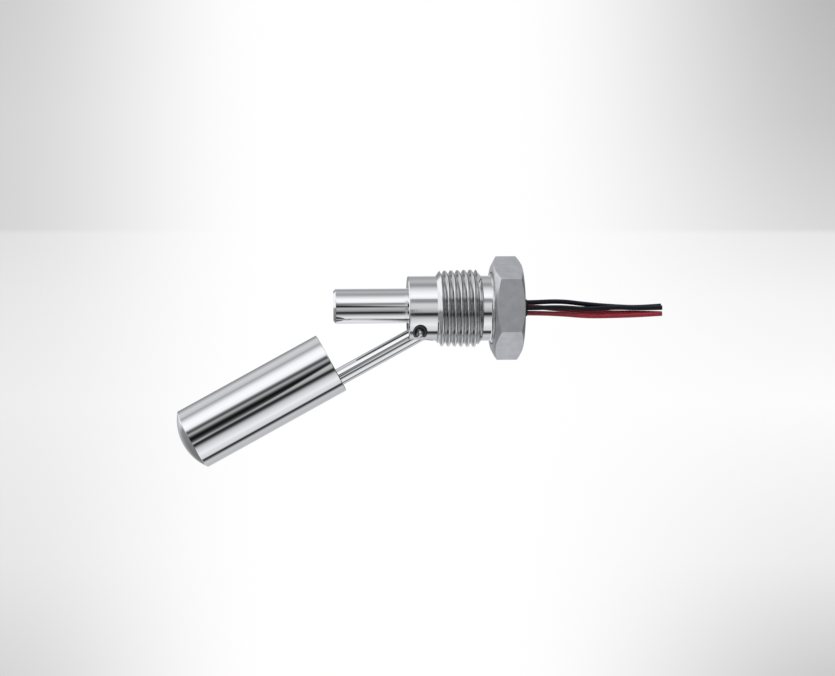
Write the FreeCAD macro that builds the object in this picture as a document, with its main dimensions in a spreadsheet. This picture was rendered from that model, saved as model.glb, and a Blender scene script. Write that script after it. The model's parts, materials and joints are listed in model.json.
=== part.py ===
import FreeCAD, Part
import math
import os
import Sketcher

# Horizontal float switch for the side wall of a tank, in millimetres.
# The origin lies on the plug's axis, in the front face of its hexagon. The thread, the stem and the
# float lie towards -X, inside the tank. The four leads leave towards +X, and +Z is up.
# The float hangs at its lower stop. It swings up about the hinge pin, which lies along Y, until the
# arm is level under the stem and the magnet in the arm closes the reed contacts in the stem.

DIMENSIONS = (
    ("hex_across_flats", 20.0, "hexagon, flat to flat"),
    ("hex_thickness", 6.4, "hexagon, front face to rear face"),
    ("hex_front_inset", 0.6, "front face's round edge inside the flats"),
    ("hex_rear_inset", 0.15, "rear face's round edge inside the flats"),
    ("hex_bevel_angle", 28.0, "slope of both bevels, in degrees from the face"),
    ("relief_length", 2.35, "undercut between the hexagon and the thread"),
    ("relief_diameter", 14.4, "undercut"),
    ("relief_fillet", 0.6, "corner between the undercut and the hexagon"),
    ("thread_length", 10.0, "taper pipe thread, over both end bevels"),
    ("thread_small_diameter", 16.75, "crests, carried to the thread's front end"),
    ("thread_taper", 16.0, "length over which the thread's diameter grows by one"),
    ("thread_front_bevel", 0.85, "length of the bevel at the thread's front end"),
    ("thread_rear_bevel", 1.05, "length of the bevel at the thread's rear end"),
    ("nose_length", 6.2, "plain nose in front of the thread"),
    ("nose_diameter", 14.4, "plain nose, which passes the tapped hole"),
    ("nose_edge", 0.2, "bevel round the nose's front face"),
    ("pivot_setback", 2.45, "hinge pin's axis behind the nose's front face"),
    ("pivot_drop", 5.4, "hinge pin's axis below the plug's axis"),
    ("slot_side_gap", 0.15, "between the arm and each wall of its slot"),
    ("slot_roof_gap", 0.3, "between the level arm and the slot's roof"),
    ("slot_run", 1.6, "centre of the slot's round end behind the hinge pin"),
    ("recess_diameter", 3.2, "recess round each end of the hinge pin"),
    ("recess_floor", 3.2, "floor of each recess from the middle plane"),
    ("pin_diameter", 2.2, "hinge pin"),
    ("pin_length", 7.8, "hinge pin, end to end"),
    ("pin_crown", 0.5, "rounding of the pin's ends"),
    ("pin_seat_gap", 0.01, "between the pin and its holes in the nose"),
    ("pin_running_gap", 0.05, "between the pin and the arm's eye"),
    ("stem_rise", 0.65, "stem's axis above the plug's axis"),
    ("stem_diameter", 7.7, "stem tube"),
    ("stem_clearance", 1.2, "between the stem's closed end and the raised float"),
    ("stem_edge", 0.55, "bevel round the stem's closed end"),
    ("stem_bore", 5.4, "inside of the stem tube"),
    ("stem_end_wall", 1.0, "closed end of the stem tube"),
    ("spigot_diameter", 6.6, "stem tube's spigot, inside the nose"),
    ("spigot_length", 4.0, "stem tube's spigot"),
    ("spigot_gap", 0.01, "between the spigot and its socket"),
    ("chamber_diameter", 6.0, "wiring chamber in the plug"),
    ("chamber_back_wall", 2.0, "wall behind the wiring chamber"),
    ("exit_hole_diameter", 3.8, "hole in the hexagon's rear face for the leads"),
    ("collar_gap", 0.02, "between the collar and the exit hole"),
    ("collar_proud", 1.5, "collar beyond the hexagon's rear face"),
    ("arm_diameter", 3.8, "float's arm"),
    ("arm_reach", 20.0, "hinge pin's axis to the float's near face"),
    ("arm_tail", 1.05, "arm behind the hinge pin's axis; its corner is the lower stop"),
    ("arm_edge", 0.15, "bevel round the arm's tail"),
    ("rest_angle", 28.4, "arm below the level at the lower stop, in degrees"),
    ("magnet_diameter", 2.6, "bar magnet in the arm"),
    ("magnet_length", 12.0, "bar magnet"),
    ("magnet_setback", 6.6, "hinge pin's axis to the magnet's near end"),
    ("magnet_gap", 0.03, "between the magnet and its bore"),
    ("float_rise", 3.6, "float's axis above the arm's axis"),
    ("float_diameter", 13.8, "float, which passes the tapped hole"),
    ("float_wall", 0.3, "float tube"),
    ("float_tube_length", 33.3, "float tube between its two end pieces"),
    ("cap_thickness", 0.6, "float's near end"),
    ("cap_lip", 0.9, "near end's lip inside the float tube"),
    ("cap_lip_gap", 0.02, "between a lip and the float tube"),
    ("arm_hole_gap", 0.02, "between the arm and its hole in the near end"),
    ("dome_skirt", 0.5, "straight edge of the float's domed end"),
    ("dome_height", 2.35, "crown of the domed end above its skirt"),
    ("dome_wall", 0.4, "float's domed end"),
    ("glass_diameter", 1.8, "reed contact's glass tube"),
    ("glass_length", 10.0, "reed contact's glass tube"),
    ("glass_end_bevel", 0.5, "sealed, narrowed ends of the glass tube"),
    ("glass_setback", 2.4, "front of the glass tubes behind the stem's inner end"),
    ("reed_spacing", 2.1, "between the axes of the two reed contacts"),
    ("carrier_diameter", 5.3, "insulating carrier in the stem"),
    ("carrier_length", 11.6, "insulating carrier"),
    ("carrier_overhang", 0.2, "carrier in front of the glass tubes"),
    ("channel_gap", 0.06, "between the carrier and what lies in its channels"),
    ("return_side", 1.7, "return wires beside the stem's axis"),
    ("return_spacing", 1.1, "between the two return wires"),
    ("return_bend", 1.2, "from the glass to the return wires' bend"),
    ("wire_diameter", 0.45, "bare wires of the reed contacts"),
    ("splice_diameter", 1.15, "crimped splice of a wire and a lead"),
    ("splice_length", 5.0, "crimped splice"),
    ("splice_back", 2.5, "splices' rear ends behind the hexagon's front face"),
    ("wire_straight", 9.5, "last straight run of a wire in front of its splice"),
    ("wire_fan", 5.0, "length over which the wires fan out to their splices"),
    ("resin_length", 12.0, "potting resin in the wiring chamber"),
    ("fill_gap", 0.02, "between the resin and what it holds"),
    ("lead_diameter", 1.05, "insulated lead"),
    ("lead_hole_gap", 0.05, "between a lead and its hole in the collar"),
)

# The route of each lead, from its splice through the collar to its free end, picked by eye. The
# first run is straight along the plug's axis, so that it lies square in the resin and the collar.
LEAD_ROUTES = {
    "lead_black_upper": (
        (2.5, -0.25, 1.14),
        (8.9, -0.25, 1.14),
        (15.4, 0.1, 1.45),
        (21.4, 0.42, 0.68),
        (27.4, 0.55, 0.18),
        (33.1, 0.5, -0.12),
        (38.1, 0.42, 0.24),
    ),
    "lead_red_upper": (
        (2.5, 0.8, 0.38),
        (8.9, 0.8, 0.38),
        (15.4, 1.05, -0.35),
        (21.4, 1.08, -1.0),
        (27.4, 0.98, -1.2),
        (33.1, 0.84, -1.24),
        (38.1, 0.78, -1.46),
    ),
    "lead_black_lower": (
        (2.5, -0.5, -0.1),
        (8.9, -0.5, -0.1),
        (15.4, -0.66, 0.06),
        (21.4, -0.72, -0.5),
        (27.4, -0.64, -0.06),
        (33.1, -0.62, -0.34),
        (38.1, -0.6, -0.22),
    ),
    "lead_red_lower": (
        (2.5, 0.22, -1.14),
        (8.9, 0.22, -1.14),
        (15.4, 0.0, -1.42),
        (21.4, -0.2, -2.0),
        (27.4, -0.3, -1.95),
        (33.1, -0.36, -1.82),
        (38.1, -0.38, -1.54),
    ),
}

FULL_TURN = 360
ARC_SHARE = 0.45
FILLET_SHARE = 0.8
MITRED = 1

doc = FreeCAD.newDocument("HorizontalFloatSwitch")
sheet = doc.addObject("Spreadsheet::Sheet", "Dim")
for row, (alias, size, meaning) in enumerate(DIMENSIONS, start=1):
    sheet.set(f"A{row}", meaning)
    sheet.set(f"B{row}", str(size))
    sheet.setAlias(f"B{row}", alias)
doc.recompute()

nodes = []


def dim(alias):
    """A size from the sheet, as a plain number."""
    return float(sheet.get(alias))


# Places that more than one piece shares, as expressions on the sheet.
NOSE_FRONT = "-(Dim.relief_length + Dim.thread_length + Dim.nose_length)"
THREAD_FRONT = "-(Dim.relief_length + Dim.thread_length)"
CHAMBER_REAR = "(Dim.hex_thickness - Dim.chamber_back_wall)"
PIVOT_X = f"({NOSE_FRONT} + Dim.pivot_setback)"
SLOT_ROOF = "(-Dim.pivot_drop + Dim.arm_diameter / 2 + Dim.slot_roof_gap)"
SLOT_HALF_WIDTH = "(Dim.arm_diameter / 2 + Dim.slot_side_gap)"
STEM_LENGTH = "(Dim.arm_reach - Dim.pivot_setback - Dim.stem_clearance)"


def nose_front():
    return -(dim("relief_length") + dim("thread_length") + dim("nose_length"))


def stem_front():
    """The stem's closed end. It stops short of the raised float."""
    return nose_front() + dim("pivot_setback") - dim("arm_reach") + dim("stem_clearance")


def chamber_rear():
    return dim("hex_thickness") - dim("chamber_back_wall")


def new_body(label):
    """An empty body for one piece."""
    body = doc.addObject("PartDesign::Body", label)
    body.Label = label
    nodes.append(body)
    return body


def new_sketch(body, role, shift=None):
    """A sketch on one of the body's own planes, shifted by expressions along its axes x, y and z."""
    sketch = body.newObject("Sketcher::SketchObject", "Sketch")
    plane = next(f for f in body.Origin.OriginFeatures if f.Role == role)
    sketch.AttachmentSupport = [(plane, "")]
    sketch.MapMode = "FlatFace"
    for axis, expression in (shift or {}).items():
        sketch.setExpression(f"AttachmentOffset.Base.{axis}", expression)
    return sketch


def tie(sketch, direction, geometry, end, expression):
    """Put an end of a line, or a circle's centre, at an expression along one axis of the sketch."""
    if expression == "0":
        axis = -2 if direction == "DistanceX" else -1
        sketch.addConstraint(Sketcher.Constraint("PointOnObject", geometry, end, axis))
        return
    point = sketch.getPoint(geometry, end)
    start = point.x if direction == "DistanceX" else point.y
    index = sketch.addConstraint(Sketcher.Constraint(direction, -1, 1, geometry, end, start))
    sketch.setExpression(f"Constraints[{index}]", expression)


def draw_outline(sketch, corners):
    """A closed outline of straight lines. It starts as a rough loop, and its ties place each corner."""
    count = len(corners)
    turn = 2 * math.pi / count
    loop = [FreeCAD.Vector(math.cos(i * turn), math.sin(i * turn), 0) for i in range(count)]
    for i in range(count):
        sketch.addGeometry(Part.LineSegment(loop[i], loop[(i + 1) % count]))
    for i in range(count):
        sketch.addConstraint(Sketcher.Constraint("Coincident", i, 2, (i + 1) % count, 1))
    for i, (across, up) in enumerate(corners):
        tie(sketch, "DistanceX", i, 1, across)
        tie(sketch, "DistanceY", i, 1, up)


def draw_circle(sketch, diameter, across="0", up="0"):
    """A circle with its diameter and its centre given as expressions."""
    circle = Part.Circle(FreeCAD.Vector(0, 0, 0), FreeCAD.Vector(0, 0, 1), 1)
    index = sketch.addGeometry(circle)
    size = sketch.addConstraint(Sketcher.Constraint("Diameter", index, 2.0))
    sketch.setExpression(f"Constraints[{size}]", diameter)
    tie(sketch, "DistanceX", index, 3, across)
    tie(sketch, "DistanceY", index, 3, up)
    return index


def add_feature(body, kind, sketch, **settings):
    """One feature on a sketch. A cut that takes nothing away stops the build."""
    before = body.Shape.Volume if body.Tip else 0.0
    feature = body.newObject(kind, kind.split("::")[1])
    feature.Profile = sketch
    for name, setting in settings.items():
        if isinstance(setting, str) and setting.startswith("="):
            feature.setExpression(name, setting[1:])
        else:
            setattr(feature, name, setting)
    doc.recompute()
    after = body.Shape.Volume
    cuts = kind in ("PartDesign::Pocket", "PartDesign::Groove")
    if (cuts and not after < before) or (not cuts and not after > before):
        raise RuntimeError(f"{body.Label}: {feature.Label} changed nothing")
    return feature


def revolve(body, sketch):
    return add_feature(
        body, "PartDesign::Revolution", sketch, ReferenceAxis=(sketch, ["H_Axis"]), Angle=FULL_TURN
    )


def groove(body, sketch):
    return add_feature(
        body, "PartDesign::Groove", sketch, ReferenceAxis=(sketch, ["H_Axis"]), Angle=FULL_TURN
    )


def round_edges(body, kind, size_name, expression, wanted):
    """A fillet or chamfer on every edge of the body's tip that wanted() picks."""
    tip = body.Tip
    names = [f"Edge{i}" for i, edge in enumerate(tip.Shape.Edges, start=1) if wanted(edge)]
    if not names:
        raise RuntimeError(f"{body.Label}: no edge to round")
    feature = body.newObject(kind, kind.split("::")[1])
    feature.Base = (tip, names)
    feature.setExpression(size_name, expression)
    doc.recompute()
    return feature


def is_circle(edge, radius):
    """Is this edge a circle of this radius?"""
    return isinstance(edge.Curve, Part.Circle) and abs(edge.Curve.Radius - radius) < 1e-5


def make_threaded_plug():
    """The plug, turned from hexagon bar, with the arm's slot, the pin's holes and the wiring chamber."""
    body = new_body("threaded_plug")
    corner = "Dim.hex_across_flats / sqrt(3)"
    flat = "Dim.hex_across_flats / 2"
    hexagon = new_sketch(body, "YZ_Plane")
    draw_outline(
        hexagon,
        (
            ("0", corner),
            (f"-{flat}", f"{corner} / 2"),
            (f"-{flat}", f"-{corner} / 2"),
            ("0", f"-{corner}"),
            (flat, f"-{corner} / 2"),
            (flat, f"{corner} / 2"),
        ),
    )
    add_feature(body, "PartDesign::Pad", hexagon, Length="=Dim.hex_thickness")
    bevel_hexagon(body, "Dim.hex_front_inset", "0", 1)
    bevel_hexagon(body, "Dim.hex_rear_inset", "Dim.hex_thickness", -1)
    turn_shank(body)
    mill_slot(body)
    drill_pin_holes(body)
    bore_plug(body)


def bevel_hexagon(body, inset, face, inwards):
    """The turned bevel on one face of the hexagon. It leaves a round face and six curved edges."""
    rim = "Dim.hex_across_flats"
    round_edge = f"(Dim.hex_across_flats / 2 - {inset})"
    depth = f"({rim} - {round_edge}) * tan(Dim.hex_bevel_angle)"
    wedge = new_sketch(body, "XZ_Plane")
    draw_outline(
        wedge, ((face, round_edge), (face, rim), (f"{face} + {inwards} * {depth}", rim))
    )
    groove(body, wedge)


def turn_shank(body):
    """Undercut, taper thread blank with its two end bevels, and nose. The crests lie on the blank."""
    small = "Dim.thread_small_diameter / 2"
    rear = f"({small} + (Dim.thread_length - Dim.thread_rear_bevel) / Dim.thread_taper / 2)"
    front = f"({small} + Dim.thread_front_bevel / Dim.thread_taper / 2)"
    shank = new_sketch(body, "XZ_Plane")
    draw_outline(
        shank,
        (
            ("0", "0"),
            ("0", "Dim.relief_diameter / 2"),
            ("-Dim.relief_length", "Dim.relief_diameter / 2"),
            ("-(Dim.relief_length + Dim.thread_rear_bevel)", rear),
            (f"{THREAD_FRONT} + Dim.thread_front_bevel", front),
            (THREAD_FRONT, "Dim.nose_diameter / 2"),
            (f"{NOSE_FRONT} + Dim.nose_edge", "Dim.nose_diameter / 2"),
            (NOSE_FRONT, "Dim.nose_diameter / 2 - Dim.nose_edge"),
            (NOSE_FRONT, "0"),
        ),
    )
    revolve(body, shank)
    relief_radius = dim("relief_diameter") / 2
    ledge = "(Dim.hex_across_flats / 2 - Dim.hex_front_inset - Dim.relief_diameter / 2)"
    round_edges(
        body,
        "PartDesign::Fillet",
        "Radius",
        f"min(Dim.relief_fillet; {FILLET_SHARE} * {ledge})",
        lambda edge: is_circle(edge, relief_radius) and abs(edge.Curve.Center.x) < 1e-5,
    )


def mill_slot(body):
    """The arm's slot, open at the nose's front and underside, with the round end that a cutter leaves."""
    sketch = new_sketch(body, "XY_Plane", {"z": SLOT_ROOF})
    half = dim("arm_diameter") / 2 + dim("slot_side_gap")
    end = nose_front() + dim("pivot_setback") + dim("slot_run")
    open_end = nose_front() - half
    sketch.addGeometry(Part.LineSegment(FreeCAD.Vector(open_end, half, 0), FreeCAD.Vector(end, half, 0)))
    round_end = Part.Circle(FreeCAD.Vector(end, 0, 0), FreeCAD.Vector(0, 0, 1), half)
    sketch.addGeometry(Part.ArcOfCircle(round_end, -math.pi / 2, math.pi / 2))
    sketch.addGeometry(Part.LineSegment(FreeCAD.Vector(end, -half, 0), FreeCAD.Vector(open_end, -half, 0)))
    sketch.addGeometry(
        Part.LineSegment(FreeCAD.Vector(open_end, -half, 0), FreeCAD.Vector(open_end, half, 0))
    )
    sketch.addConstraint(Sketcher.Constraint("Tangent", 0, 2, 1, 2))
    sketch.addConstraint(Sketcher.Constraint("Tangent", 1, 1, 2, 1))
    sketch.addConstraint(Sketcher.Constraint("Coincident", 2, 2, 3, 1))
    sketch.addConstraint(Sketcher.Constraint("Coincident", 3, 2, 0, 1))
    sketch.addConstraint(Sketcher.Constraint("Horizontal", 0))
    sketch.addConstraint(Sketcher.Constraint("Horizontal", 2))
    sketch.addConstraint(Sketcher.Constraint("Vertical", 3))
    tie(sketch, "DistanceX", 1, 3, f"{PIVOT_X} + Dim.slot_run")
    tie(sketch, "DistanceY", 1, 3, "0")
    tie(sketch, "DistanceX", 0, 1, f"{NOSE_FRONT} - {SLOT_HALF_WIDTH}")
    size = sketch.addConstraint(Sketcher.Constraint("Radius", 1, half))
    sketch.setExpression(f"Constraints[{size}]", SLOT_HALF_WIDTH)
    add_feature(body, "PartDesign::Pocket", sketch, Length="=Dim.nose_diameter")


def drill_pin_holes(body):
    """The hinge pin's hole through both ears of the slot, and a recess round each of its ends."""
    hole = new_sketch(body, "XZ_Plane")
    draw_circle(hole, "Dim.pin_diameter + 2 * Dim.pin_seat_gap", PIVOT_X, "-Dim.pivot_drop")
    add_feature(body, "PartDesign::Pocket", hole, Length="=2 * Dim.nose_diameter", Midplane=True)
    recess = new_sketch(body, "XZ_Plane", {"z": "Dim.recess_floor"})
    draw_circle(recess, "Dim.recess_diameter", PIVOT_X, "-Dim.pivot_drop")
    near = add_feature(
        body, "PartDesign::Pocket", recess, Length="=Dim.nose_diameter", Reversed=True
    )
    middle = next(f for f in body.Origin.OriginFeatures if f.Role == "XZ_Plane")
    mirrored = body.newObject("PartDesign::Mirrored", "Mirrored")
    mirrored.Originals = [near]
    mirrored.MirrorPlane = (middle, [""])
    body.Tip = mirrored
    doc.recompute()


def bore_plug(body):
    """The stem's socket and the wiring chamber on the stem's axis, and the leads' exit hole."""
    chamber = new_sketch(body, "XZ_Plane", {"y": "Dim.stem_rise"})
    socket = "Dim.spigot_diameter / 2 + Dim.spigot_gap"
    draw_outline(
        chamber,
        (
            (NOSE_FRONT, "0"),
            (NOSE_FRONT, socket),
            (f"{NOSE_FRONT} + Dim.spigot_length", socket),
            (f"{NOSE_FRONT} + Dim.spigot_length", "Dim.chamber_diameter / 2"),
            (CHAMBER_REAR, "Dim.chamber_diameter / 2"),
            (CHAMBER_REAR, "0"),
        ),
    )
    groove(body, chamber)
    exit_hole = new_sketch(body, "XZ_Plane")
    draw_outline(
        exit_hole,
        (
            (CHAMBER_REAR, "0"),
            (CHAMBER_REAR, "Dim.exit_hole_diameter / 2"),
            ("Dim.hex_thickness", "Dim.exit_hole_diameter / 2"),
            ("Dim.hex_thickness", "0"),
        ),
    )
    groove(body, exit_hole)


def make_stem_tube():
    """The stem: a turned tube with a closed, bevelled end and a spigot that seats in the nose."""
    body = new_body("stem_tube")
    inner_end = f"(-{STEM_LENGTH} + Dim.stem_end_wall)"
    sketch = new_sketch(body, "XZ_Plane")
    draw_outline(
        sketch,
        (
            (f"-{STEM_LENGTH}", "0"),
            (f"-{STEM_LENGTH}", "Dim.stem_diameter / 2 - Dim.stem_edge"),
            (f"-{STEM_LENGTH} + Dim.stem_edge", "Dim.stem_diameter / 2"),
            ("0", "Dim.stem_diameter / 2"),
            ("0", "Dim.spigot_diameter / 2"),
            ("Dim.spigot_length", "Dim.spigot_diameter / 2"),
            ("Dim.spigot_length", "Dim.stem_bore / 2"),
            (inner_end, "Dim.stem_bore / 2"),
            (inner_end, "0"),
        ),
    )
    revolve(body, sketch)
    body.Placement = FreeCAD.Placement(
        FreeCAD.Vector(nose_front(), 0, dim("stem_rise")), FreeCAD.Rotation()
    )


def arm_frame():
    """The arm's own frame at the lower stop: its origin on the hinge pin, the float towards -X."""
    pivot = FreeCAD.Vector(nose_front() + dim("pivot_setback"), 0, -dim("pivot_drop"))
    tilt = FreeCAD.Rotation(FreeCAD.Vector(0, 1, 0), -dim("rest_angle"))
    return FreeCAD.Placement(pivot, tilt)


def float_frame():
    """The float's frame: its origin at the middle of its near face, the dome towards -X."""
    offset = FreeCAD.Vector(-dim("arm_reach"), 0, dim("float_rise"))
    return arm_frame().multiply(FreeCAD.Placement(offset, FreeCAD.Rotation()))


def make_hinge_pin():
    """The hinge pin, with crowned ends that lie inside the recesses of the nose."""
    body = new_body("hinge_pin")
    sketch = new_sketch(body, "XZ_Plane")
    draw_circle(sketch, "Dim.pin_diameter")
    add_feature(body, "PartDesign::Pad", sketch, Length="=Dim.pin_length", Midplane=True)
    pin_radius = dim("pin_diameter") / 2
    round_edges(
        body, "PartDesign::Fillet", "Radius", "Dim.pin_crown", lambda edge: is_circle(edge, pin_radius)
    )
    body.Placement = FreeCAD.Placement(arm_frame().Base, FreeCAD.Rotation())


def make_float_arm():
    """The arm: a round bar with the pin's eye at its tail and a blind bore for the magnet."""
    body = new_body("float_arm")
    far_end = "-(Dim.arm_reach + Dim.cap_thickness)"
    bar = new_sketch(body, "XZ_Plane")
    draw_outline(
        bar,
        (
            ("Dim.arm_tail", "0"),
            ("Dim.arm_tail", "Dim.arm_diameter / 2 - Dim.arm_edge"),
            ("Dim.arm_tail - Dim.arm_edge", "Dim.arm_diameter / 2"),
            (far_end, "Dim.arm_diameter / 2"),
            (far_end, "0"),
        ),
    )
    revolve(body, bar)
    bore = new_sketch(body, "XZ_Plane")
    draw_outline(
        bore,
        (
            ("-Dim.magnet_setback", "0"),
            ("-Dim.magnet_setback", "Dim.magnet_diameter / 2 + Dim.magnet_gap"),
            (far_end, "Dim.magnet_diameter / 2 + Dim.magnet_gap"),
            (far_end, "0"),
        ),
    )
    groove(body, bore)
    eye = new_sketch(body, "XZ_Plane")
    draw_circle(eye, "Dim.pin_diameter + 2 * Dim.pin_running_gap")
    add_feature(body, "PartDesign::Pocket", eye, Length="=2 * Dim.arm_diameter", Midplane=True)
    body.Placement = arm_frame()


def make_arm_magnet():
    """The bar magnet, pushed to the bottom of the arm's bore."""
    magnet = doc.addObject("Part::Cylinder", "arm_magnet")
    magnet.Label = "arm_magnet"
    magnet.setExpression("Radius", "Dim.magnet_diameter / 2")
    magnet.setExpression("Height", "Dim.magnet_length")
    along_arm = FreeCAD.Rotation(FreeCAD.Vector(0, 1, 0), -90)
    seat = FreeCAD.Placement(FreeCAD.Vector(-dim("magnet_setback"), 0, 0), along_arm)
    magnet.Placement = arm_frame().multiply(seat)
    nodes.append(magnet)


def make_float_tube():
    """The float's thin tube, open at both ends."""
    body = new_body("float_tube")
    near = "-Dim.cap_thickness"
    far = "-(Dim.cap_thickness + Dim.float_tube_length)"
    inner = "Dim.float_diameter / 2 - Dim.float_wall"
    sketch = new_sketch(body, "XZ_Plane")
    draw_outline(
        sketch,
        ((near, inner), (near, "Dim.float_diameter / 2"), (far, "Dim.float_diameter / 2"), (far, inner)),
    )
    revolve(body, sketch)
    body.Placement = float_frame()


def make_float_cap():
    """The float's near end: a disc with a lip inside the tube and a hole for the arm, off centre."""
    body = new_body("float_cap")
    lip = "Dim.float_diameter / 2 - Dim.float_wall - Dim.cap_lip_gap"
    sketch = new_sketch(body, "XZ_Plane")
    draw_outline(
        sketch,
        (
            ("0", "0"),
            ("0", "Dim.float_diameter / 2"),
            ("-Dim.cap_thickness", "Dim.float_diameter / 2"),
            ("-Dim.cap_thickness", lip),
            ("-(Dim.cap_thickness + Dim.cap_lip)", lip),
            ("-(Dim.cap_thickness + Dim.cap_lip)", f"{lip} - Dim.float_wall"),
            ("-Dim.cap_thickness", f"{lip} - Dim.float_wall"),
            ("-Dim.cap_thickness", "0"),
        ),
    )
    revolve(body, sketch)
    arm_hole = new_sketch(body, "YZ_Plane")
    draw_circle(arm_hole, "Dim.arm_diameter + 2 * Dim.arm_hole_gap", "0", "-Dim.float_rise")
    add_feature(body, "PartDesign::Pocket", arm_hole, Length="=4 * Dim.cap_thickness", Midplane=True)
    body.Placement = float_frame()


def make_float_dome():
    """The float's far end: a shallow pressed dome on a short straight skirt."""
    skirt_start = dim("cap_thickness") + dim("float_tube_length")
    edge = skirt_start + dim("dome_skirt")
    crown = edge + dim("dome_height")
    wall = dim("dome_wall")
    radius = dim("float_diameter") / 2

    def crown_arc(rim_radius, rise, apex):
        """An arc from the axis at the apex to the rim, with a given rise."""
        sphere = (rim_radius**2 + rise**2) / (2 * rise)
        half_angle = math.asin(rim_radius / sphere) / 2
        middle = FreeCAD.Vector(
            -apex + sphere * (1 - math.cos(half_angle)), 0, sphere * math.sin(half_angle)
        )
        start = FreeCAD.Vector(-apex, 0, 0)
        end = FreeCAD.Vector(-apex + rise, 0, rim_radius)
        return Part.Arc(start, middle, end).toShape(), start, end

    outer, outer_apex, outer_rim = crown_arc(radius, dim("dome_height"), crown)
    inner, inner_apex, inner_rim = crown_arc(radius - wall, dim("dome_height") - wall / 2, crown - wall)
    skirt_outer = FreeCAD.Vector(-skirt_start, 0, radius)
    skirt_inner = FreeCAD.Vector(-skirt_start, 0, radius - wall)
    section = Part.Wire(
        [
            outer,
            Part.makeLine(outer_rim, skirt_outer),
            Part.makeLine(skirt_outer, skirt_inner),
            Part.makeLine(skirt_inner, inner_rim),
            inner,
            Part.makeLine(inner_apex, outer_apex),
        ]
    )
    dome = doc.addObject("Part::Feature", "float_dome")
    dome.Label = "float_dome"
    dome.Shape = Part.Face(section).revolve(FreeCAD.Vector(0, 0, 0), FreeCAD.Vector(1, 0, 0), FULL_TURN)
    dome.Placement = float_frame()
    nodes.append(dome)


def reed_height(side):
    """Height of a reed contact's axis; side is 1 for the upper one and -1 for the lower one."""
    return dim("stem_rise") + side * dim("reed_spacing") / 2


def return_height(side):
    """Height of a return wire's straight run."""
    return dim("stem_rise") + side * dim("return_spacing") / 2


def glass_front():
    """The front ends of both glass tubes."""
    return stem_front() + dim("stem_end_wall") + dim("glass_setback")


def make_reed_glass(label, side):
    """One reed contact: a sealed glass tube with narrowed ends."""
    body = new_body(label)
    sketch = new_sketch(body, "YZ_Plane")
    draw_circle(sketch, "Dim.glass_diameter")
    add_feature(body, "PartDesign::Pad", sketch, Length="=Dim.glass_length")
    glass_radius = dim("glass_diameter") / 2
    round_edges(
        body,
        "PartDesign::Chamfer",
        "Size",
        "Dim.glass_end_bevel",
        lambda edge: is_circle(edge, glass_radius),
    )
    body.Placement = FreeCAD.Placement(
        FreeCAD.Vector(glass_front(), 0, reed_height(side)), FreeCAD.Rotation()
    )


def make_reed_carrier():
    """The insulating carrier in the stem, with a channel for each glass tube and each return wire."""
    body = new_body("reed_carrier")
    outside = new_sketch(body, "YZ_Plane")
    draw_circle(outside, "Dim.carrier_diameter")
    add_feature(body, "PartDesign::Pad", outside, Length="=Dim.carrier_length")
    channels = new_sketch(body, "YZ_Plane")
    for sign in ("", "-"):
        glass_channel = "Dim.glass_diameter + 2 * Dim.channel_gap"
        wire_channel = "Dim.wire_diameter + 2 * Dim.channel_gap"
        draw_circle(channels, glass_channel, "0", f"{sign}Dim.reed_spacing / 2")
        draw_circle(channels, wire_channel, "Dim.return_side", f"{sign}Dim.return_spacing / 2")
    add_feature(body, "PartDesign::Pocket", channels, Length="=3 * Dim.carrier_length", Midplane=True)
    body.Placement = FreeCAD.Placement(
        FreeCAD.Vector(glass_front() - dim("carrier_overhang"), 0, dim("stem_rise")), FreeCAD.Rotation()
    )


def tube(points, diameter):
    """A round tube along straight runs joined by tangent arcs. Returns it, its length and its radii."""
    corners = [FreeCAD.Vector(*point) for point in points]
    edges = []
    radii = []
    start = corners[0]
    for before, corner, after in zip(corners, corners[1:], corners[2:]):
        to_before = before.sub(corner)
        to_after = after.sub(corner)
        reach = ARC_SHARE * min(to_before.Length, to_after.Length)
        half_turn = (math.pi - to_before.getAngle(to_after)) / 2
        radius = reach / math.tan(half_turn)
        arc_start = corner + to_before.normalize() * reach
        arc_end = corner + to_after.normalize() * reach
        inwards = (to_before + to_after).normalize()
        middle = corner + inwards * (radius / math.cos(half_turn) - radius)
        edges.append(Part.LineSegment(start, arc_start).toShape())
        edges.append(Part.Arc(arc_start, middle, arc_end).toShape())
        radii.append(radius)
        start = arc_end
    edges.append(Part.LineSegment(start, corners[-1]).toShape())
    path = Part.Wire(edges)
    direction = corners[1].sub(corners[0])
    section = Part.Wire([Part.makeCircle(diameter / 2, corners[0], direction)])
    solid = path.makePipeShell([section], True, True)
    expected = math.pi * diameter**2 / 4 * path.Length
    if abs(solid.Volume - expected) > 0.005 * expected:
        raise RuntimeError(f"a tube's volume is {solid.Volume}, not {expected}")
    return solid, path.Length, radii


def wire_solid(points):
    """A thin round wire along straight runs. Its corners are mitred, to keep what nobody sees light."""
    corners = [FreeCAD.Vector(*point) for point in points]
    direction = corners[1].sub(corners[0])
    section = Part.Wire([Part.makeCircle(dim("wire_diameter") / 2, corners[0], direction)])
    return Part.makePolygon(corners).makePipeShell([section], True, False, MITRED)


def add_solid(label, shape):
    """A piece whose shape is worked out here from the sheet's sizes."""
    feature = doc.addObject("Part::Feature", label)
    feature.Label = label
    feature.Shape = shape
    nodes.append(feature)
    return feature


def splice_front():
    """The splices' front ends, where the reed contacts' wires go in."""
    return dim("splice_back") - dim("splice_length")


def wire_tail(lead):
    """The last two points of a wire: its straight run into the splice of a lead."""
    side, height = LEAD_ROUTES[lead][0][1:]
    return (splice_front() - dim("wire_straight"), side, height), (splice_front(), side, height)


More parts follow.
